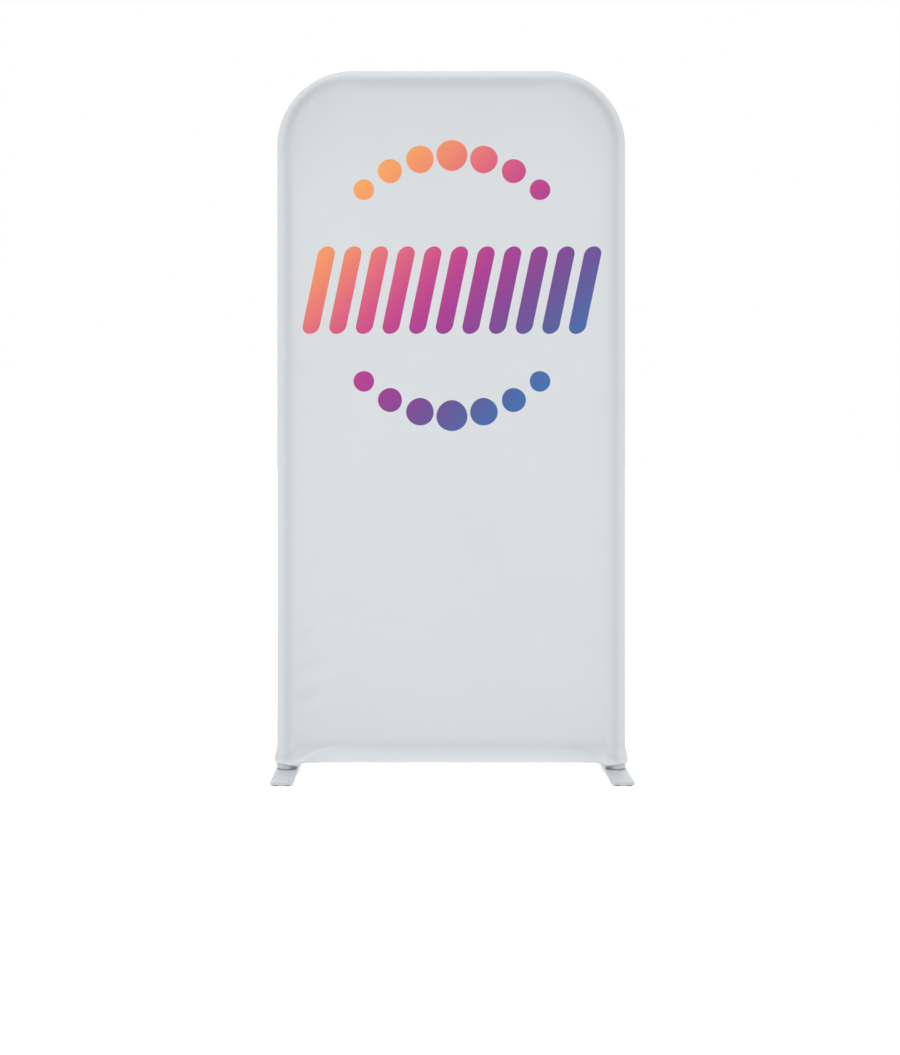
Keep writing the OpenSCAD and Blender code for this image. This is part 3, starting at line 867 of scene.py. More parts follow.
def sewn_mesh(
        name: str, points: Array, faces: Array, material: bpy.types.Material,
) -> bpy.types.Object:
    """Turn points and faces into a smooth piece.

    Args:
        name: Name of the piece.
        points: Corners, one row each, in metres.
        faces: Corner numbers of each face.
        material: Its finish.

    Returns:
        The new object.
    """
    mesh = bpy.data.meshes.new(name)
    mesh.from_pydata(points.tolist(), [], faces.tolist())
    mesh.materials.append(material)
    smoothed(mesh)
    mesh.update()
    LOG.info("%s: %d faces", name, len(mesh.polygons))
    return placed(name, mesh)


class PanelSide(Enum):
    """Face of the display that a panel covers."""

    FRONT = -1
    BACK = 1


@dataclass(frozen=True)
class Crease:
    """A shallow fold in the stretched cloth between two points of the face, in millimetres."""

    start: Pair
    end: Pair
    height: float
    width: float
    bow: float = 0.0
    trough: float = 0.55
    # painted highlight along the fold; below 0, painted shade
    painted_sheen: float = 0.0
    valley: float = 1.7
    tip: float = 0.04
    blunt: float = 0.8

    def fold(self, x: Array, z: Array, trough: float) -> Array:
        """Profile of the fold at each place, 1 at its crest.

        Args:
            x: Triples across.
            z: Heights.
            trough: Depth of the valley beside the crest.

        Returns:
            Shares of the fold's height.
        """
        begin = np.array(self.start) * MM
        along = (np.array(self.end) - np.array(self.start)) * MM
        length, width = math.hypot(*along), self.width * MM
        share = ((x - begin[0]) * along[0] + (z - begin[1]) * along[1]) / length**2
        aside = ((z - begin[1]) * along[0] - (x - begin[0]) * along[1]) / length
        held = np.clip(share, 0, 1)
        aside = (aside - self.bow * MM * 4 * held * (1 - held)) / width
        taper = np.sin(np.pi * np.clip(self.tip + (1 - 2 * self.tip) * held, 0, 1)) ** self.blunt
        ridge = bell(aside) - trough * bell(aside + self.valley)
        return taper * ridge * bell((share - held) * length / width)

    def lift(self, x: Array, z: Array) -> Array:
        """How far the fold stands out at each place, in metres."""
        return self.height * MM * self.fold(x, z, self.trough)

    def tone(self, x: Array, z: Array) -> Array:
        """Sheen of the strained cloth along the fold, below 0 where it is duller."""
        # Painted highlight along the fold, and painted shade where below 0.
        return self.painted_sheen * self.fold(x, z, 0)


@dataclass(frozen=True)
class TubeShade:
    """How far a tube behind the cloth darkens it, from its darkest line outwards: the tube seen
    through the cloth, widened by painted shade.
    """

    dark: float
    near: float
    far: float
    spread: float
    outer: float
    inset: float = 2.5 * MM

    def at(self, inside: Array) -> Array:
        """Read the shade across the tube.

        Args:
            inside: Distance from the tube's middle line, less than 0 on its outer side.

        Returns:
            Shares of darkness.
        """
        away = inside - self.inset
        held = np.clip(away, 0, None)
        inner = (1 - self.far) * bell(held, self.near) + self.far * np.exp(-held / self.spread)
        return self.dark * np.where(away > 0, inner, bell(away, self.outer))


@dataclass(frozen=True)
class HemShade:
    """How much paler the cloth is by its height: the two-layer hem, with painted light of the
    floor's bounce.
    """

    levels: tuple[float, ...]
    shares: tuple[float, ...]

    def at(self, height: Array) -> Array:
        """Shares of paleness at each height."""
        return np.interp(height, self.levels, self.shares)


@dataclass(frozen=True)
class CornerDrape:
    """Painted light and shade where the cloth below the rail is drawn to one foot post: painted
    light below a line, painted shade in the recess above.
    """

    side: int
    level: float
    fall: float
    turn: float
    pale: float
    # painted shade in the recess above the line
    hollow_shade: float
    hollow_run: Pair
    dimple_z: float
    # painted highlight along the line
    fold_highlight: float = 0.0
    # painted glint by the foot post
    glint: float = 0.0
    foot: float = 264 * MM
    droop: float = 1.8
    soft: float = 6 * MM
    pale_run: Pair = (110 * MM, 215 * MM)
    pale_rise: Pair = (24 * MM, 30 * MM)
    streak_run: Pair = (190 * MM, 220 * MM)
    streak_end: Pair = (272 * MM, 264 * MM)
    streak_low: float = 3.5 * MM
    streak_h: float = 2.6 * MM
    glint_z: float = 21 * MM
    glint_w: float = 9 * MM
    glint_h: float = 4.5 * MM
    rail_fade: Pair = (2 * MM, -6 * MM)
    dimple_dark: float = 0.18
    dimple_h: float = 5 * MM

    def line(self, x: Array) -> Array:
        """Height of the line, which falls to the post."""
        away = np.clip((self.side * x - self.turn) / (self.foot - self.turn), 0, 1)
        return self.level - self.fall * away**self.droop

    def under(self, x: Array, z: Array) -> Array:
        """Share of each place that lies below the line."""
        return eased((self.line(x) + self.soft / 2 - z) / self.soft)

    def glow(self, x: Array, z: Array) -> Array:
        """Painted light below the line, a painted highlight along it, and a painted glint by the
        post.

        Args:
            x: Triples across.
            z: Heights.

        Returns:
            Shares of paleness.
        """
        away = self.side * x
        near = rising(away, *self.pale_run) * self.under(x, z) * rising(z, *self.pale_rise)
        crest = rising(away, *self.streak_run) * rising(away, *self.streak_end)
        crest *= bell(z - self.line(x) + self.streak_low, self.streak_h)
        spot = bell(away - self.foot, self.glint_w) * bell(z - self.glint_z, self.glint_h)
        return self.pale * near + self.fold_highlight * crest + self.glint * spot

    def hollowed(self, x: Array, z: Array) -> Array:
        """Share of each place that lies in the hollow above the line."""
        return rising(self.side * x, *self.hollow_run) * (1 - self.under(x, z))

    def shade(self, x: Array, z: Array, rail_z: float) -> Array:
        """Painted shade in the recess between the line and the rail."""
        return self.hollow_shade * self.hollowed(x, z) * rising(z - rail_z, *self.rail_fade)

    def dimple_shade(self, x: Array, z: Array) -> Array:
        """Painted shade of the small dent over the post."""
        return self.dimple_dark * (self.side * x > 0) * bell(z - self.dimple_z, self.dimple_h)


@dataclass(frozen=True)
class CoverTone:
    """Painted light and shade of a panel, partly the tubes seen through it, over its hem, its
    creases and its drapes.
    """

    lines: FrameLines
    creases: tuple[Crease, ...]
    drapes: tuple[CornerDrape, ...]
    # side, top and bend: the tube seen through the cloth, widened into painted shade, darkest round
    # the top corners
    side_shade: TubeShade = TubeShade(0.48, 9 * MM, 0.35, 22 * MM, 8 * MM)
    # painted shade that grows darker higher up the sides
    side_gain: float = 0.35
    side_gain_z: float = 0.4
    top_shade: TubeShade = TubeShade(0.7, 10 * MM, 0.4, 110 * MM, 9 * MM, 4.5 * MM)
    bend_shade: TubeShade = TubeShade(0.95, 8 * MM, 0.5, 80 * MM, 8 * MM, 0.5 * MM)
    bend_lead: Pair = (40 * MM, 130 * MM)
    bend_share: float = 0.75
    # rail: the tube seen through the cloth, with painted shade above it
    rail_shade: TubeShade = TubeShade(0.36, 8 * MM, 0.6, 50 * MM, 8 * MM, 0)
    post_run: Pair = (-22 * MM, -10 * MM)
    # painted light on the hem beside each foot post
    swell: float = 0.6
    post_glow_in: float = 27 * MM
    post_glow_w: float = 14 * MM
    # painted light of the floor's bounce on the hem, over its two-layer cloth
    hem_shade: HemShade = HemShade(
        (15 * MM, 19.8 * MM, 23.3 * MM, 26.8 * MM, 34 * MM, 44 * MM),
        (0.6, 0.6, 0.36, 0.24, 0.08, 0))
    # painted light on the lower rim round each foot post
    hook_shade: HemShade = HemShade((14 * MM, 18.5 * MM, 21.5 * MM, 25.6 * MM), (1, 0.8, 0.35, 0))

    def at(self, points: Array) -> Array:
        """How dark or pale the cloth is: darkest over the middle of a tube, fading both ways,
        partly the tube seen through the cloth and partly painted shade, with painted light and
        shade on the hem, creases and drapes.

        Args:
            points: Points by column and row.

        Returns:
            Shares up to 1 by column and row, below 0 where the two-layer hem and painted light make
            it paler.
        """
        lines = self.lines
        across, z = points[..., 0], points[..., 2]
        x = np.abs(across)
        turn = lines.post_x - lines.bend_x
        right, up = x - lines.bend_x, z - lines.bend_z
        reach = turn - np.hypot(np.clip(right, 0, None), np.clip(up, 0, None))
        level, upright = (
            1 - rising(way, -lead, self.bend_share * turn)
            for way, lead in zip((right, up), self.bend_lead))
        gain = 1 + self.side_gain * rising(z, self.side_gain_z, lines.bend_z)
        post = rising(x - lines.post_x, *self.post_run)
        inside = (reach - np.clip(way, None, 0) for way in (right, up, np.maximum(right, up)))
        side, top, bend = (
            shade.at(way)
            for shade, way in zip((self.side_shade, self.top_shade, self.bend_shade), inside))
        shades = [
            side * upright * gain,
            top * level,
            bend * (1 - level) * (1 - upright),
            self.rail_shade.at(z - lines.rail_z) * (1 - post),
        ]
        pale = self.hem_shade.at(z)
        # painted light on the hem beside each foot post
        pale = pale * (1 + self.swell * bell(x - lines.post_x + self.post_glow_in, self.post_glow_w))
        # painted highlights and painted shade along the creases
        tone = sum((crease.tone(across, z) for crease in self.creases), np.zeros(x.shape))
        pale = pale + np.clip(tone, 0, None)
        shades.append(-tone)
        # painted light and shade where the cloth is drawn to each foot post
        for drape in self.drapes:
            pale = pale * (1 - drape.hollowed(across, z)) + drape.glow(across, z)
            shades += [drape.shade(across, z, lines.rail_z) * (1 - post),
                       drape.dimple_shade(across, z) * post]
        clear = np.prod([1 - np.clip(shade, 0, 1) for shade in shades], axis=0)
        pale = np.clip(pale, 0, 1) * (1 - post) + self.hook_shade.at(z) * post
        return (1 - clear) * (1 - pale) - pale


@dataclass(frozen=True)
class SeamPinch:
    """How the side seam draws the cloth in, with the small gathers that its stitches leave."""

    dip: float = 0.55 * MM
    width: float = 1.4 * MM
    gather: float = 0.3
    gather_pitch: float = 8.5 * MM
    pucker: float = 0.1 * MM
    pucker_w: float = 6 * MM
    pucker_pitch: float = 13 * MM

    def drawn(self, away: Array, along: Array) -> Array:
        """How far the cloth moves in.

        Args:
            away: Distance from the seam, by column and row.
            along: Distance along the seam, by column.

        Returns:
            Distances by column and row.
        """
        turns = along[:, None] * 2 * math.pi
        gather = 1 + self.gather * np.sin(turns / self.gather_pitch)
        pucker = self.pucker * bell(away, self.pucker_w) * np.sin(turns / self.pucker_pitch)
        return self.dip * bell(away, self.width) * gather + pucker


@dataclass(frozen=True)
class ClothWaves:
    """Slack of the stretched cloth, and the rucks of its hem."""

    slack: float = 0.12 * MM
    wide: Triple = (71, 1.3, 9)
    tall: Triple = (23, 2, 13)
    hem: float = 0.16 * MM
    hem_h: float = 22 * MM
    rucks: Triple = (260, 2.1, 47)
    ripple: Triple = (0.6, 433, 1)

    def lifts(self, x: Array, z: Array, rail_z: float) -> tuple[Array, Array]:
        """How far the cloth stands out at each place.

        Args:
            x: Places across.
            z: Heights.
            rail_z: Height of the rail, above which the rucks fade.

        Returns:
            Distances of the slack and of the rucks, in metres.
        """
        share, rate, shift = self.ripple
        rucks = wavy(x, x, *self.rucks) + share * np.sin(x * rate + shift)
        low = np.exp(-(np.clip(z - rail_z, 0, None) / self.hem_h))
        slack = self.slack * wavy(x, z, *self.wide) * wavy(z, x, *self.tall)
        return slack, self.hem * low * rucks


@dataclass(frozen=True)
class CoverCuts:
    """Openings of the cover: the zip's slot and the turned-in edge round each foot post."""

    slot_x: float = 268 * MM
    slot_half: float = 6.2 * MM
    fold_w: float = 7 * MM
    edge_z: float = 18.5 * MM
    edge_drop: float = 6.5 * MM


@dataclass(frozen=True)
class CoverForm:
    """Plain form of a front panel, from its seam round the tubes to the flat of its face."""

    lines: FrameLines
    dip: float = 0.0
    cuts: CoverCuts = CoverCuts()
    margin: float = 60 * MM
    hem_blend: float = 62 * MM
    hem_edge_r: float = 18.5 * MM
    hem_face_r: float = 19 * MM
    hem_z: float = 16 * MM
    blend_power: float = 1.2
    sink_start: float = 0.62
    flare_r: float = 21.6 * MM
    flare_z: float = 20.1 * MM
    flange_top: float = 25.6 * MM
    flare_start: float = 23.6 * MM
    flare_top: float = 50 * MM
    flare_end: float = 58 * MM
    side_start: float = 48 * MM
    side_run: float = 72 * MM
    side_pulls: tuple[float, ...] = (4 * MM, 12 * MM, 24 * MM, 42 * MM)
    end_inset: float = 1 * MM
    hem_knots: Triple = (135.5 * MM, 250.7 * MM, 272.4 * MM)
    hem_shares: tuple[float, ...] = (0, 0.55, 0.85, 0.92, 0.97)
    hem_lifts: tuple[float, ...] = (0, 0, 0, 0, 1 * MM, 4 * MM)
    core_half_w: float = 168 * MM
    core_low: float = 172 * MM
    core_drop: float = 12 * MM
    wrap_power: float = 1.35
    ring_power: float = 1.3
    ring_pull: float = 0.05
    wraps: int = 14
    rings: int = 13
    inner_rings: int = 9
    hem_cells: int = 42
    blend_cells: int = 14
    flare_cells: int = 18
    side_cells: int = 142
    turn_cells: int = 20

    @property
    def hem_count(self) -> int:
        """Number of cells from the middle of the hem to the foot post."""
        return self.hem_cells + self.blend_cells

    @property
    def side_count(self) -> int:
        """Number of cells from the foot post to the middle of the top bend."""
        return self.flare_cells + self.side_cells + self.turn_cells

    def wrap_angles(self) -> Array:
        """Angles from the seam, at 0, to the crest, close together near the seam."""
        return math.pi / 2 * (np.arange(self.wraps + 1) / self.wraps) ** self.wrap_power

    def around_post(
            self, radius: Array, level: Array, outward: float, drop: Array,
    ) -> Array:
        """Quarter turns of cloth round the right foot post.

        Args:
            radius: Radius of each turn.
            level: Height of each turn.
            outward: 1 on the outer side of the post and -1 on the inner side.
            drop: How far each turn sinks at the inner side.

        Returns:
            Points by turn, angle and axis.
        """
        a = self.wrap_angles()[None, :]
        r, z, d = (np.asarray(v, float)[:, None] for v in (radius, level, drop))
        return points_of(
            self.lines.post_x + outward * r * np.cos(a),
            -r * np.sin(a),
            z - d * ((1 - outward * np.cos(a)) / 2) ** 2)

    def hem(self, x: Array) -> Array:
        """Lower edge of the cloth: down from the rail in a straight slope to the hem seam.

        Args:
            x: Triples along the rail.

        Returns:
            Points by place, angle and axis.
        """
        r, rail = self.lines.skin_r, self.lines.rail_z
        rise = rail - self.hem_z
        leave = math.acos(r / rise)
        a = self.wrap_angles()
        slope = (rise - r * math.cos(leave)) * a / leave
        y = np.where(a < leave, -r * math.sin(leave) * a / leave, -r * np.sin(a))
        z = np.where(a < leave, self.hem_z + slope, rail - r * np.cos(a))
        return points_of(x[:, None], y, z)

    def hem_stations(self) -> tuple[Array, Array]:
        """Wraps from the middle of the hem to the inner side of the foot post.

        Returns:
            Points by station, angle and axis, and where each station ends on the flat face.
        """
        lines = self.lines
        foot_x = lines.post_x - self.hem_blend
        level = self.hem(np.linspace(0, foot_x, self.hem_cells + 1))
        share = np.linspace(0, 1, self.blend_cells + 1)[1:]
        rise = self.flare_z - self.hem_z
        post = self.around_post([self.flare_r], [self.flare_z], -1, [rise])[0]
        foot = self.hem(np.array([foot_x]))[0]
        near = (share**self.blend_power)[:, None]
        x, y, z = (foot[None, :, i] * (1 - part) + post[None, :, i] * part
                   for i, part in enumerate((share[:, None], near, near)))
        sunk = np.clip((share - self.sink_start) / (1 - self.sink_start), 0, 1) ** 2
        turn = (1 + np.cos(self.wrap_angles())) / 2
        z -= ((self.cuts.edge_drop - rise) * sunk)[:, None] * turn[None, :] ** 2
        wrap = np.concatenate([level, points_of(x, y, z)])
        flat_x = lines.post_x - self.margin
        mid, *late = self.hem_knots
        knots = [0, mid, foot_x, *late, lines.post_x]
        end_x = [*(share * flat_x for share in self.hem_shares), flat_x - self.end_inset]
        end_z = [lines.rail_z + self.margin + lift for lift in self.hem_lifts]
        at = wrap[:, -1, 0]
        return wrap, points_of(through(knots, end_x, at), through(knots, end_z, at))

    def side_stations(self) -> tuple[Array, Array]:
        """Wraps up the outer side, from the foot flange to the start of the top bend.

        Returns:
            Points by station, angle and axis, and where each station ends on the flat face.
        """
        lines = self.lines
        low = np.linspace(self.flare_z, self.flare_end, self.flare_cells + 1)
        high = np.linspace(low[-1], lines.bend_z, self.side_cells + 1)[1:]
        level = np.concatenate([low, high])
        flare = 1 - rising(level, self.flare_start, self.flare_top)
        radius = lines.skin_r + (self.flare_r - lines.skin_r) * flare
        drop = self.cuts.edge_drop * (1 - rising(level, self.flare_z, self.flange_top))
        wrap = self.around_post(radius, level, 1, drop)
        flat_x, flat_z = lines.post_x - self.margin, lines.rail_z + self.margin
        top, run, pulled = self.side_start, self.side_run, flat_z + self.side_pulls[-1]
        knots = [self.flare_z, self.flange_top, (self.flange_top + top) / 2, top, top + run,
                 lines.bend_z]
        rate = (lines.bend_z - pulled) / (lines.bend_z - top)
        ends = [*(flat_z + pull for pull in self.side_pulls), pulled + run * rate, lines.bend_z]
        end_x = flat_x - self.end_inset * (1 - rising(level, self.flare_z, self.flange_top))
        return wrap, points_of(end_x, through(knots, ends, level))

    def top_stations(self) -> tuple[Array, Array]:
        """Wraps round the top bend and along the top to its middle.

        Returns:
            Points by station, angle and axis, and where each station ends on the flat face.
        """
        lines = self.lines
        a = self.wrap_angles()
        turn = np.linspace(0, math.pi / 2, 2 * self.turn_cells + 1)[1:]
        bend_r = lines.post_x - lines.bend_x
        reach, depth = bend_r + lines.skin_r * np.cos(a), -lines.skin_r * np.sin(a)
        bend = points_of(
            lines.bend_x + np.cos(turn)[:, None] * reach, depth,
            lines.bend_z + np.sin(turn)[:, None] * reach)
        x = np.linspace(lines.bend_x, 0, self.hem_count - self.turn_cells + 1)[1:]
        top = points_of(x[:, None], depth, lines.top_z + lines.skin_r * np.cos(a))
        inner = bend_r - self.margin
        ends = np.concatenate([
            points_of(lines.bend_x + inner * np.cos(turn), lines.bend_z + inner * np.sin(turn)),
            points_of(x, lines.top_z - self.margin),
        ])
        return np.concatenate([bend, top]), ends

    def core_points(self) -> Array:
        """Points round the right half of the plain rectangle in the middle of the face.

        Returns:
            Places across and up, one for each station.
        """
        high = self.lines.bend_z - self.core_drop
        across = np.linspace(0, self.core_half_w, self.hem_count + 1)
        back = np.linspace(self.core_half_w, 0, self.hem_count + 1)[1:]
        rise = np.linspace(self.core_low, high, self.side_count + 1)
        return np.concatenate([
            points_of(across, self.core_low), points_of(self.core_half_w, rise),
            points_of(back, high)])

    def face_y(self) -> float:
        """Place of the flat middle of a front panel, before it is turned to its side."""
        return -self.lines.skin_r + self.dip

    def half_grid(self) -> tuple[Array, Array]:
        """Lay out the right half of a front panel as columns from the seam to the middle.

        Returns:
            Points and places on the flat cloth, by column and row.
        """
        parts = zip(self.hem_stations(), self.side_stations(), self.top_stations())
        wrap, ends = (np.concatenate(part) for part in parts)
        core = self.core_points()[:, None]
        crest, end = wrap[:, -1][:, None], ends[:, None]
        w = (np.arange(1, self.rings + 1) / self.rings) ** self.ring_power
        pull = np.sin(w * math.pi / 2) * (1 - np.exp(-w / self.ring_pull))
        margin = points_of(
            between(crest[..., 0], end[..., 0], w),
            between(crest[..., 1], self.face_y(), pull),
            between(crest[..., 2], end[..., 1], w))
        u = np.arange(1, self.inner_rings + 1) / self.inner_rings
        inner = points_of(
            between(end[..., 0], core[..., 0], u), self.face_y(),
            between(end[..., 1], core[..., 1], u))
        points = np.concatenate([wrap, margin, inner], axis=1)
        return points, self.cloth_places(points, wrap)

    def cloth_places(self, points: Array, wrap: Array) -> Array:
        """Unroll the columns onto the flat cloth.

        Args:
            points: Points by column and row.
            wrap: The part of them from the seam to the crest.

        Returns:
            Places across and up the cloth, in metres.
        """
        lines, hem = self.lines, self.hem_count + 1
        crest = wrap[:, -1]
        out = run_along(wrap[:, ::-1])[:, ::-1]
        right, up = crest[hem:, 0] - lines.bend_x, crest[hem:, 2] - lines.bend_z
        turn = np.arctan2(np.clip(up, 0, None), np.clip(right, 0, None))
        turn = np.where(up <= 0, 0, turn)
        turn = np.where(right <= 1e-9, math.pi / 2, turn)
        way = np.zeros((len(wrap), 2))
        way[:hem] = (0, -1)
        way[hem:] = points_of(np.cos(turn), np.sin(turn))
        places = points[:, :, [0, 2]].copy()
        places[:, : self.wraps + 1] = crest[:, None, [0, 2]] + way[:, None] * out[:, :, None]
        return places

    def under_post(self) -> tuple[Array, Array]:
        """Half ring of cloth under the right foot flange, up to the edge round the neck.

        Returns:
            Points by row and angle, and their places on the flat cloth.
        """
        turn = np.linspace(0, math.pi / 2, 4)
        edge, face, low = self.hem_edge_r, self.hem_face_r, self.cuts.edge_z
        radius = [edge, (edge + face) / 2, *(face + (self.flare_r - face) * np.sin(turn))]
        level = [low, low, *(self.flare_z - (self.flare_z - low) * np.cos(turn))]
        drop = np.full(len(radius), self.cuts.edge_drop)
        inner, outer = (self.around_post(radius, level, outward, drop) for outward in (-1, 1))
        rows = np.concatenate([inner, outer[:, ::-1][:, 1:]], axis=1)
        return rows, points_of(rows[..., 0], rows[..., 2] + rows[..., 1])

    def middle(self) -> tuple[Array, Array]:
        """Plain rectangle in the middle of the face.

        Returns:
            Points by column and row, and their places on the flat cloth.
        """
        high = self.lines.bend_z - self.core_drop
        across = np.linspace(-self.core_half_w, self.core_half_w, 2 * self.hem_count + 1)
        up = np.linspace(self.core_low, high, self.side_count + 1)
        flat = points_of(*np.meshgrid(across, up, indexing="ij"))
        return points_of(flat[..., 0], self.face_y(), flat[..., 1]), flat


@dataclass
class CoverPanel:
    """One sewn face of the stretch cover, wrapped round the frame from seam to seam."""

    side: PanelSide
    form: CoverForm
    creases: tuple[Crease, ...] = ()
    drapes: tuple[CornerDrape, ...] = ()
    seam: SeamPinch = SeamPinch()
    waves: ClothWaves = ClothWaves()
    cloth: float = 0.8 * MM
    unpinched: tuple[int, int] = (12, 6)
    weld: float = 0.02 * MM
    sharp: float = math.radians(50)

    @property
    def name(self) -> str:
        """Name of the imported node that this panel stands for."""
        return "cover_front" if self.side is PanelSide.FRONT else "cover_back"

    def lifted(self, points: Array) -> Array:
        """Add creases, the slack of the cloth and the rucks of its hem to a panel's points.

        Args:
            points: Points of the panel.

        Returns:
            The moved points.
        """
        x, y, z = points[..., 0], points[..., 1], points[..., 2]
        lines = self.form.lines
        lifts = [crease.lift(x, z) for crease in self.creases]
        lift = sum([*lifts, *self.waves.lifts(x, z, lines.rail_z)], np.zeros(x.shape))
        facing = np.clip(-y / lines.skin_r, 0, 1) ** 2
        moved = points.copy()
        moved[..., 1] -= lift * facing
        return moved

    def pinched(self, points: Array) -> Array:
        """Draw the cloth in along the seam, with the small gathers that the stitches leave.

        Args:
            points: Columns of the right half, before they are joined.

        Returns:
            The moved points.
        """
        count = self.form.wraps + 1
        wrap = points[:, :count]
        inward = wrap[:, -1] - wrap[:, 0]
        inward[:, 1] = 0
        inward /= np.linalg.norm(inward, axis=-1, keepdims=True) + 1e-12
        hem = self.form.hem_count + 1
        fade = np.ones((len(points), 1))
        fade[hem - self.unpinched[0]:hem + self.unpinched[1]] = 0
        drawn = self.seam.drawn(run_along(wrap), run_along(wrap[:, 0])) * fade
        moved = points.copy()
        moved[:, :count] += drawn[..., None] * inward[:, None]
        return moved

    def joined(self) -> tuple[Array, Array, Array, Array]:
        """Join both halves, the patches round the posts and the middle of the panel.

        Returns:
            Points, places on the cloth, tones and faces.
        """
        form = self.form
        half, places = form.half_grid()
        half = self.pinched(half)
        flip, flip_uv = np.array([-1, 1, 1]), np.array([-1, 1])
        columns = np.concatenate([half, half[-2:0:-1] * flip])
        uv = np.concatenate([places, places[-2:0:-1] * flip_uv])
        count, rows = columns.shape[:2]
        seams = (form.hem_count, count - form.hem_count - 1)
        parts = [(columns, uv, grid_faces(count, rows, (True, False), seams))]
        patch, patch_uv = form.under_post()
        quads = grid_faces(*patch.shape[:2])
        parts.append((patch, patch_uv, quads[:, ::-1]))
        parts.append((patch * flip, patch_uv * flip_uv, quads))
        core, flat = form.middle()
        parts.append((core, flat, grid_faces(*flat.shape[:2])))
        tone = CoverTone(form.lines, self.creases, self.drapes)
        base, faces = 0, []
        for points, _, quads in parts:
            faces.append(quads + base)
            base += points[..., 0].size
        return (
            np.concatenate([part[0].reshape(-1, 3) for part in parts]),
            np.concatenate([part[1].reshape(-1, 2) for part in parts]),
            np.concatenate([tone.at(part[0]).reshape(-1) for part in parts]),
            np.concatenate(faces)[:, ::-1],
        )

    def slotted(self, mesh: bpy.types.Mesh) -> None:
        """Cut the zip's slot into a rear panel and turn its edges in.

        Args:
            mesh: Mesh of the panel, which is changed.
        """
        cuts, zip_z = self.form.cuts, self.form.lines.zip_z
        rear, step = 8 * MM, 0.6 * MM
        lip, lip_end, fold, sink = 0.35 * MM, 0.9 * MM, 0.5 * MM, 0.45 * MM

        def near(far_x: float, far_z: float) -> list[bmesh.types.BMFace]:
            """Faces of the rear within some distance of the slot's middle."""
            middles = ((face, face.calc_center_median()) for face in body.faces)
            return [face for face, middle in middles if middle.y > rear
                    and abs(middle.z - zip_z) < far_z and abs(middle.x) < far_x]

        body = bmesh.new()
        body.from_mesh(mesh)
        offsets = [0, lip, lip_end, cuts.fold_w - step, cuts.fold_w + step]
        planes = [((0, 0, zip_z + s * (cuts.slot_half + o)), (0, 0, 1))
                  for s in (-1, 1) for o in offsets]
        planes += [((s * (cuts.slot_x + o), 0, 0), (1, 0, 0)) for s in (-1, 1) for o in offsets[:3]]
        for place, way in planes:
            faces = near(cuts.slot_x + 9 * MM, cuts.slot_half + cuts.fold_w + 7 * MM)
            edges = {edge for face in faces for edge in face.edges}
            corners = {corner for face in faces for corner in face.verts}
            bmesh.ops.bisect_plane(
                body, geom=faces + list(edges | corners), plane_co=place, plane_no=way, dist=1e-6)
        gone = near(cuts.slot_x, cuts.slot_half)
        bmesh.ops.delete(body, geom=gone, context="FACES")
        for corner in body.verts:
            away = max(abs(corner.co.z - zip_z) - cuts.slot_half, abs(corner.co.x) - cuts.slot_x)
            if corner.co.y >= rear and -1 * MM < away < cuts.fold_w + 2 * MM:
                folded = 1 - float(rising(away, cuts.fold_w - step, cuts.fold_w + step))
                rolled = 1 - float(rising(away, 0, lip_end))
                corner.co.y += fold * folded - sink * rolled
        body.to_mesh(mesh)
        body.free()

    def flat_mesh(self) -> bpy.types.Mesh:
        """Make the panel's sheet, with its places on the cloth and its tones.

        Returns:
            The mesh, still without thickness.
        """
        points, places, tones, faces = self.joined()
        points = self.lifted(points)
        if self.side is PanelSide.BACK:
            points[:, 1] *= -1
            faces = faces[:, ::-1]
        mesh = bpy.data.meshes.new(self.name + "_cloth")
        mesh.from_pydata(points.tolist(), [], faces.tolist())
        layer = mesh.uv_layers.new(name="cloth")
        corner = np.zeros(len(mesh.loops), np.int32)
        mesh.loops.foreach_get("vertex_index", corner)
        layer.data.foreach_set("uv", places[corner].astype(np.float32).ravel())
        # tone per point: above 0 the tubes seen through the cloth plus painted shade, below 0 the
        # two-layer hem plus painted light
        shade = mesh.attributes.new("tube_and_painted_tone", "FLOAT", "POINT")
        shade.data.foreach_set("value", tones.astype(np.float32))
        body = bmesh.new()
        body.from_mesh(mesh)
        bmesh.ops.remove_doubles(body, verts=body.verts, dist=self.weld)
        body.to_mesh(mesh)
        body.free()
        if self.side is PanelSide.BACK:
            self.slotted(mesh)
        return mesh

    def build(self, material: bpy.types.Material) -> bpy.types.Object:
        """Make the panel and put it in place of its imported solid.

        Args:
            material: The fabric.

        Returns:
            The finished piece.
        """
        piece = placed(self.name + "_cloth", self.flat_mesh())
        shell = piece.modifiers.new("thickness", "SOLIDIFY")
        shell.thickness = self.cloth
        shell.offset = -1
        shell.use_even_offset = True
        bpy.context.view_layer.update()
        graph = bpy.context.evaluated_depsgraph_get()
        solid = bpy.data.meshes.new_from_object(
            piece.evaluated_get(graph), preserve_all_data_layers=True, depsgraph=graph)
        piece.modifiers.clear()
        piece.data = solid
        solid.name = piece.name
        smoothed(solid)
        solid.set_sharp_from_angle(angle=self.sharp)
        solid.materials.clear()
        solid.materials.append(material)
        LOG.info("%s: %d faces", piece.name, len(solid.polygons))
        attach(piece, "frame")
        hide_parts(self.name)
        return piece


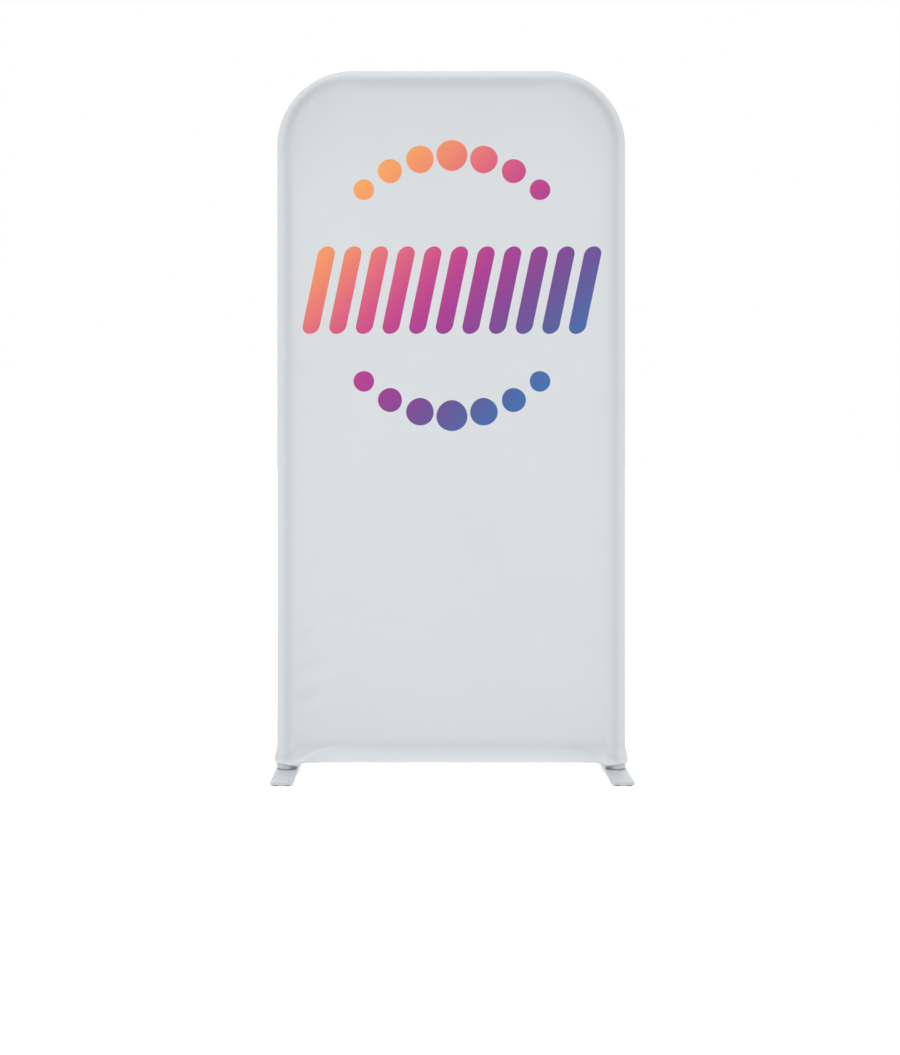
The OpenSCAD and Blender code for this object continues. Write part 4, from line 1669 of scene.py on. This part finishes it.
@dataclass(frozen=True)
class StitchRow:
    """A line of lockstitches along a path on the cloth."""

    path: Array
    outward: Array
    pitch: float
    length: float
    thread_r: float = 0.24 * MM
    thick: tuple[float, ...] = (0.35, 0.85, 1, 1, 1, 0.85, 0.35)
    sides: int = 6
    arch: float = 1.5
    blunt: float = 0.6

    def stitches(self) -> tuple[Array, Array]:
        """Lay the stitches out along the path.

        Returns:
            Points and faces of every stitch.
        """
        run, count = run_along(self.path), len(self.thick)
        middles = np.arange(self.pitch / 2, run[-1], self.pitch)
        share = np.linspace(-0.5, 0.5, count)
        at = np.clip(middles[:, None] + share[None] * self.length, 0, run[-1])
        line, out = (points_of(*(np.interp(at, run, part) for part in whole.T))
                     for whole in (self.path, self.outward))
        out = unit(out)
        arch = np.cos(share * math.pi) ** self.blunt
        line = line + out * (self.thread_r * (self.arch * arch - 1.0))[None, :, None]
        aside = np.cross(unit(np.gradient(line, axis=1)), out)
        turn = np.linspace(0, 2 * math.pi, self.sides + 1)[:-1][:, None]
        radius = self.thread_r * np.array(self.thick)
        ring = aside[:, :, None] * np.cos(turn) + out[:, :, None] * np.sin(turn)
        points = line[:, :, None] + ring * radius[None, :, None, None]
        first = np.arange(len(middles))[:, None, None] * count * self.sides
        faces = first + grid_faces(count, self.sides, (False, True))
        return points.reshape(-1, 3), faces.reshape(-1, 4)


@dataclass
class Sewing:
    """Stitching and edge tape that hold the cover's slot and foot openings."""

    lines: FrameLines
    thread: bpy.types.Material
    edge_tape: bpy.types.Material
    cuts: CoverCuts = CoverCuts()
    inset: float = 2.6 * MM
    second: float = 2.4 * MM
    second_short: float = 4 * MM
    seam_stitch: Pair = (3 * MM, 2.3 * MM)
    bar_stitch: Pair = (1.5 * MM, 1.35 * MM)
    bar_rows: int = 4
    bar_step: float = 0.55 * MM
    ring_r: float = 18.35 * MM
    tape_half_w: float = 0.75 * MM
    tape_half_h: float = 0.9 * MM
    drop_from: float = 60 * MM
    side_points: int = 240
    bar_points: int = 12
    tape_low: float = 0.1 * MM
    tape_square: float = 0.7
    tape_points: int = 96
    tape_sides: int = 12
    swell: float = 0.12
    ruck_points: int = 4

    def on_cloth(self, cloth: BVHTree, flat: Array) -> tuple[Array, Array]:
        """Drop places of the rear face onto the cloth.

        Args:
            cloth: Search tree of the rear panel.
            flat: Triples across and up.

        Returns:
            Points on the cloth and the outward way at each.
        """
        points, ways = [], []
        for x, z in flat:
            hit, way, _, _ = cloth.ray_cast(Vector((x, self.drop_from, z)), Vector((0, -1, 0)))
            points.append(hit if hit else Vector((x, self.lines.skin_r, z)))
            ways.append(way if hit else Vector((0, 1, 0)))
        return np.array(points), np.array(ways)

    def slot_paths(self) -> list[tuple[Array, Pair]]:
        """Two rows of stitches along each side of the zip's slot, and a bar at each end.

        Returns:
            Places across and up, with the pitch and length of the stitches.
        """
        slot_x, zip_z = self.cuts.slot_x, self.lines.zip_z
        high = self.cuts.slot_half + self.inset
        paths = []
        second = (slot_x - self.second_short, high + self.second)
        for end, up in ((slot_x + self.inset, high), second):
            x = np.linspace(-end, end, self.side_points)
            paths += [(points_of(x, zip_z + side * up), self.seam_stitch) for side in (-1, 1)]
        z = np.linspace(zip_z - high, zip_z + high, self.bar_points)
        paths += [
            (points_of(side * (slot_x + self.inset + step * self.bar_step), z), self.bar_stitch)
            for side in (-1, 1) for step in range(self.bar_rows)]
        return paths

    def slot_rows(self, cloth: BVHTree) -> bpy.types.Object:
        """Topstitch round the zip's slot.

        Args:
            cloth: Search tree of the rear panel.

        Returns:
            The stitches as one piece.
        """
        points, faces, base = [], [], 0
        for flat, stitch in self.slot_paths():
            new_points, new_faces = StitchRow(*self.on_cloth(cloth, flat), *stitch).stitches()
            points.append(new_points)
            faces.append(new_faces + base)
            base += len(new_points)
        return sewn_mesh(
            "zip_stitching", np.concatenate(points), np.concatenate(faces), self.thread)

    def opening_tapes(self) -> list[bpy.types.Object]:
        """Bind the cloth's edge round each foot post with narrow elastic tape.

        Returns:
            The left and the right tape.
        """
        made, cuts = [], self.cuts
        turn = np.linspace(0, 2 * math.pi, self.tape_points, endpoint=False)
        radius = self.ring_r + self.tape_half_w
        level = cuts.edge_z - self.tape_low - cuts.edge_drop * ((1 - np.cos(turn)) / 2) ** 2
        swell = 1 + self.swell * np.sin(np.arange(len(turn)) * 2 * math.pi / self.ruck_points)
        girth = np.linspace(0, 2 * math.pi, self.tape_sides + 1)[:-1]
        wide, tall = (np.sign(part) * np.abs(part) ** self.tape_square
                      for part in (np.cos(girth), np.sin(girth)))
        for side, name in ((-1, "left"), (1, "right")):
            out = points_of(side * np.cos(turn), np.sin(turn), 0)[:, None]
            middle = points_of(side * self.lines.post_x, 0, level)[:, None] + radius * out
            across = (self.tape_half_w * wide)[None, :, None] * swell[:, None, None]
            up = np.array([0, 0, 1.0]) * (self.tape_half_h * tall)[None, :, None]
            points = middle + out * across + up
            faces = grid_faces(*points.shape[:2], (True, True))
            if side < 0:
                faces = faces[:, ::-1]
            made.append(
                sewn_mesh(f"hem_binding_{name}", points.reshape(-1, 3), faces, self.edge_tape))
        return made


@dataclass
class StretchCover:
    """The whole cover: front and rear panel, stitching and edge tapes."""

    lines: FrameLines
    knit: StretchKnit = StretchKnit()
    face: PrintedFace = PrintedFace()
    front_dip: float = 4 * MM
    cut_w: float = 630 * MM
    cut_h: float = 1227 * MM
    cut_area: float = 0.765
    front_creases: tuple[Crease, ...] = (
        Crease((-198, 40), (-278, 20), 2.1, 5.0, trough=0.15),
        Crease((-284, 33), (-236, 42), -0.8, 4.0),
        # some of these folds also carry a painted highlight along them, and some painted shade
        Crease((-278, 150), (-170, 188), 1.7, 6.0, 1, painted_sheen=0.16),
        Crease((-282, 128), (-228, 148), -0.9, 6.5, painted_sheen=-0.24),
        Crease((-280, 174), (-222, 203), -0.8, 6.5, painted_sheen=-0.16),
        Crease((-274, 104), (-214, 136), 0.9, 8.0, painted_sheen=0.13),
        Crease((-276, 226), (-236, 262), -0.5, 8.0, painted_sheen=-0.12),
        Crease((-240, 58), (-170, 66), 0.4, 5.0),
        Crease((-120, 66), (-60, 60), 0.25, 6.0),
        Crease((209, 33), (263, 41), 0.5, 4.5),
        Crease((205, 78), (262, 60), 0.35, 5.0),
        Crease((252, 118), (276, 92), 0.3, 5.0),
        Crease((150, 66), (196, 72), 0.2, 6.0),
    )
    rear_creases: tuple[Crease, ...] = (
        Crease((-240, 52), (-180, 60), 0.4, 5.0),
        Crease((214, 128), (272, 96), 0.4, 5.0),
        Crease((-270, 118), (-214, 146), 0.35, 5.0),
    )
    # painted light and shade where the cloth is drawn to the foot posts
    front_drapes: tuple[CornerDrape, ...] = (
        CornerDrape(
            -1, level=51 * MM, fall=24 * MM, turn=190 * MM, pale=0.2, hollow_shade=0.14,
            hollow_run=(225 * MM, 262 * MM), dimple_z=31.6 * MM, fold_highlight=0.16, glint=0.5),
        CornerDrape(
            1, level=39 * MM, fall=6 * MM, turn=200 * MM, pale=0, hollow_shade=0.17,
            hollow_run=(180 * MM, 245 * MM), dimple_z=48 * MM),
    )

    def build(self) -> None:
        """Make every piece of the cover."""
        lines = self.lines
        front = CoverPanel(
            PanelSide.FRONT, CoverForm(lines, self.front_dip), self.front_creases,
            self.front_drapes)
        back = CoverPanel(PanelSide.BACK, CoverForm(lines), self.rear_creases)
        printed = front.build(self.knit.material("printed_stretch_knit", self.face))
        plain = back.build(self.knit.material("plain_stretch_knit"))
        tree = BVHTree.FromObject(plain, bpy.context.evaluated_depsgraph_get())
        sewing = Sewing(
            lines, SewingThread().material("cover_thread"), ZipTape().material("edge_tape"))
        stitched = sewing.slot_rows(tree)
        tapes = sewing.opening_tapes()
        for piece in (stitched, *tapes):
            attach(piece, "frame")


@dataclass
class TubeFrame:
    """Knock-down frame of drawn tube with its sleeves, rivets and snap joints."""

    tube: DrawnTube = DrawnTube()
    steel: BrightSteel = BrightSteel()
    acetal: MouldedPlastic = MouldedPlastic(srgb(142, 146, 150), srgb(168, 172, 175), (0.3, 0.44))

    def dress(self) -> None:
        """Finish every tube, sleeve, rivet, button and clip."""
        uprights = ("lower_upright", "upper_upright", "top_bend", "mid_sleeve", "shoulder_sleeve")
        dress(self.tube.material("drawn_tube_upright", TubeRun.UPRIGHT), both(*uprights))
        dress(self.tube.material("drawn_tube_level", TubeRun.LEVEL), ["bottom_rail", "top_sleeve"])
        dress(self.steel.material("rivet_steel"), ["sleeve_rivets"])
        for kind, finish in (
            ("button", self.acetal.material("button_acetal")),
            ("clip", self.steel.material("clip_spring_steel")),
        ):
            spots = (f"{spot}_{kind}" for spot in ("rail", "foot", "mid", "shoulder"))
            dress(finish, [*both(*spots), f"top_{kind}"])


@dataclass
class FootPair:
    """Both feet: corner fittings, washers, screws, plates and pads."""

    lines: FrameLines
    paint: PaintedSteel = PaintedSteel()
    cast: PaintedSteel = PaintedSteel(srgb(196, 200, 203), srgb(184, 188, 191))
    # dark grey nylon, darkened further as painted shade of the gap under each neck
    nylon: MouldedPlastic = MouldedPlastic(srgb(84, 87, 90), srgb(104, 106, 108), (0.44, 0.58))

    def dress(self) -> None:
        """Finish every piece of the two feet."""
        plates = self.paint.material("plate_powder_coat", plates=self.lines)
        fittings = self.cast.material("fitting_powder_coat", necks=self.lines)
        dress(plates, both("foot_plate"))
        dress(fittings, both("corner_fitting"))
        dress(BrightSteel().material("screw_zinc"), both("foot_screw"))
        dress(self.nylon.material("washer_nylon"), both("foot_washer"))
        dress(PadRubber().material("pad_rubber"), both("foot_pads"))


@dataclass
class RearZip:
    """Zip on the rear face: tapes, teeth, end stops, slider and pull tab."""

    tape: ZipTape = ZipTape()
    acetal: MouldedPlastic = MouldedPlastic(srgb(214, 217, 219), srgb(198, 201, 204), (0.3, 0.42))
    enamel: PaintedSteel = PaintedSteel(srgb(186, 189, 192), srgb(172, 175, 178))

    def dress(self) -> None:
        """Finish every piece of the zip."""
        dress(self.tape.material("zip_tape_weave"), ["zip_tape_upper", "zip_tape_lower"])
        dress(self.acetal.material("tooth_acetal"),
              ["zip_teeth_upper", "zip_teeth_lower", "zip_stops"])
        dress(self.enamel.material("slider_enamel"), ["zip_slider", "zip_pull"])


@dataclass(frozen=True)
class SoftLamp:
    """A large soft lamp that is aimed at the middle of the display."""

    name: str
    place: Triple
    size: float
    power: float
    aim: Triple = (0.0, 0.0, 0.62)

    def light(self) -> None:
        """Hang the lamp."""
        lamp = bpy.data.lights.new(self.name, "AREA")
        lamp.shape = "DISK"
        lamp.size = self.size
        lamp.energy = self.power
        hung = placed(self.name, lamp)
        hung.location = self.place
        way = Vector(self.aim) - Vector(self.place)
        hung.rotation_euler = way.to_track_quat("-Z", "Y").to_euler()


@dataclass
class Studio:
    """Pale floor, soft lamps, white surroundings and the camera."""

    ambient: float = 0.54
    floor_half: float = 40.0
    floor_shade: Colour = srgb(250, 250, 250)
    floor_glow: float = 0.38
    white_run: Pair = (0.55, 1.6)
    lens: float = 52.9
    eye: Triple = (-0.046, -2.720, 0.569)
    shift: Pair = (0.0237, -0.0757)
    lamps: tuple[SoftLamp, ...] = (
        SoftLamp("key", (-1.5, -2.7, 0.9), 1.8, 16.2),
        SoftLamp("fill", (1.6, -2.6, 0.8), 1.8, 14.2),
        SoftLamp("left_side", (-2.8, -0.2, 0.9), 1.6, 9.5),
        SoftLamp("right_side", (2.8, -0.2, 0.9), 1.6, 8),
        SoftLamp("overhead", (0.0, -0.4, 3.0), 1.6, 15),
        SoftLamp("rear_left", (-1.6, 2.6, 1.0), 1.8, 16),
        SoftLamp("rear_right", (1.6, 2.6, 1.0), 1.8, 16),
    )

    def seen(self, bench: NodeBench) -> Socket:
        """Tell the rays by which the camera, a gloss or a clear piece looks from those that light.

        Args:
            bench: Bench of the floor or of the world.

        Returns:
            A socket that is 1 for a ray that looks.
        """
        path = bench.add("LightPath").outputs
        total = bench.sum("MAXIMUM", path["Is Camera Ray"], path["Is Glossy Ray"])
        return bench.sum("MAXIMUM", total, path["Is Transmission Ray"])

    def surroundings(self) -> None:
        """White to the camera and to gloss, and a plain soft light to everything else."""
        bench = NodeBench("studio", world=True)
        bpy.context.scene.world = bench.owner
        bench.set(Color=WHITE, Strength=self.ambient)
        shown = bench.put("Background", WHITE, 1.0)
        bench.show(bench.put("MixShader", self.seen(bench), bench.surface.outputs[0], shown))

    def floor(self) -> None:
        """Pale floor that keeps the object's shadow and meets the white surroundings far off."""
        half = self.floor_half
        mesh = bpy.data.meshes.new("floor")
        mesh.from_pydata([(-half, -half, 0), (half, -half, 0), (half, half, 0), (-half, half, 0)],
                         [], [(0, 1, 2, 3)])
        floor = placed("floor", mesh)
        bench = NodeBench("floor_paper")
        bench.set(Base_Color=self.floor_shade, Roughness=0.95, Specular_IOR_Level=0.1)
        x, y, _ = bench.split(bench.point())
        seen = self.seen(bench)
        share = bench.sum("MULTIPLY", bench.band(bench.apart(x, y), *self.white_run), seen)
        white = bench.put("Emission", WHITE, 1.0)
        paper = bench.put("MixShader", share, bench.surface.outputs[0], white)
        glow = bench.put("Emission", WHITE, bench.sum("MULTIPLY", seen, self.floor_glow))
        bench.show(bench.put("AddShader", paper, glow))
        mesh.materials.append(bench.owner)

    def camera(self) -> None:
        """Set the camera level in front of the display, as the picture was taken."""
        data = bpy.data.cameras.new("camera")
        data.sensor_fit = "VERTICAL"
        data.sensor_height = 36
        data.sensor_width = 36
        data.lens = self.lens
        data.shift_x, data.shift_y = self.shift
        camera = placed("camera", data)
        camera.location = self.eye
        camera.rotation_euler = (math.pi / 2, 0, 0)
        bpy.context.scene.camera = camera

    def build(self) -> None:
        """Set up the floor, the light and the camera."""
        bpy.context.scene.view_settings.view_transform = "Standard"
        self.camera()
        self.surroundings()
        self.floor()
        for lamp in self.lamps:
            lamp.light()


def main() -> None:
    """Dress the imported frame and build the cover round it."""
    logging.basicConfig(level=logging.INFO, format="%(message)s")
    Studio().build()
    lines = FrameLines.measured(cloth=0.8 * MM, slack=0.3 * MM, leg=120 * MM)
    TubeFrame().dress()
    FootPair(lines).dress()
    RearZip().dress()
    StretchCover(lines).build()


if __name__ == "__main__":
    main()
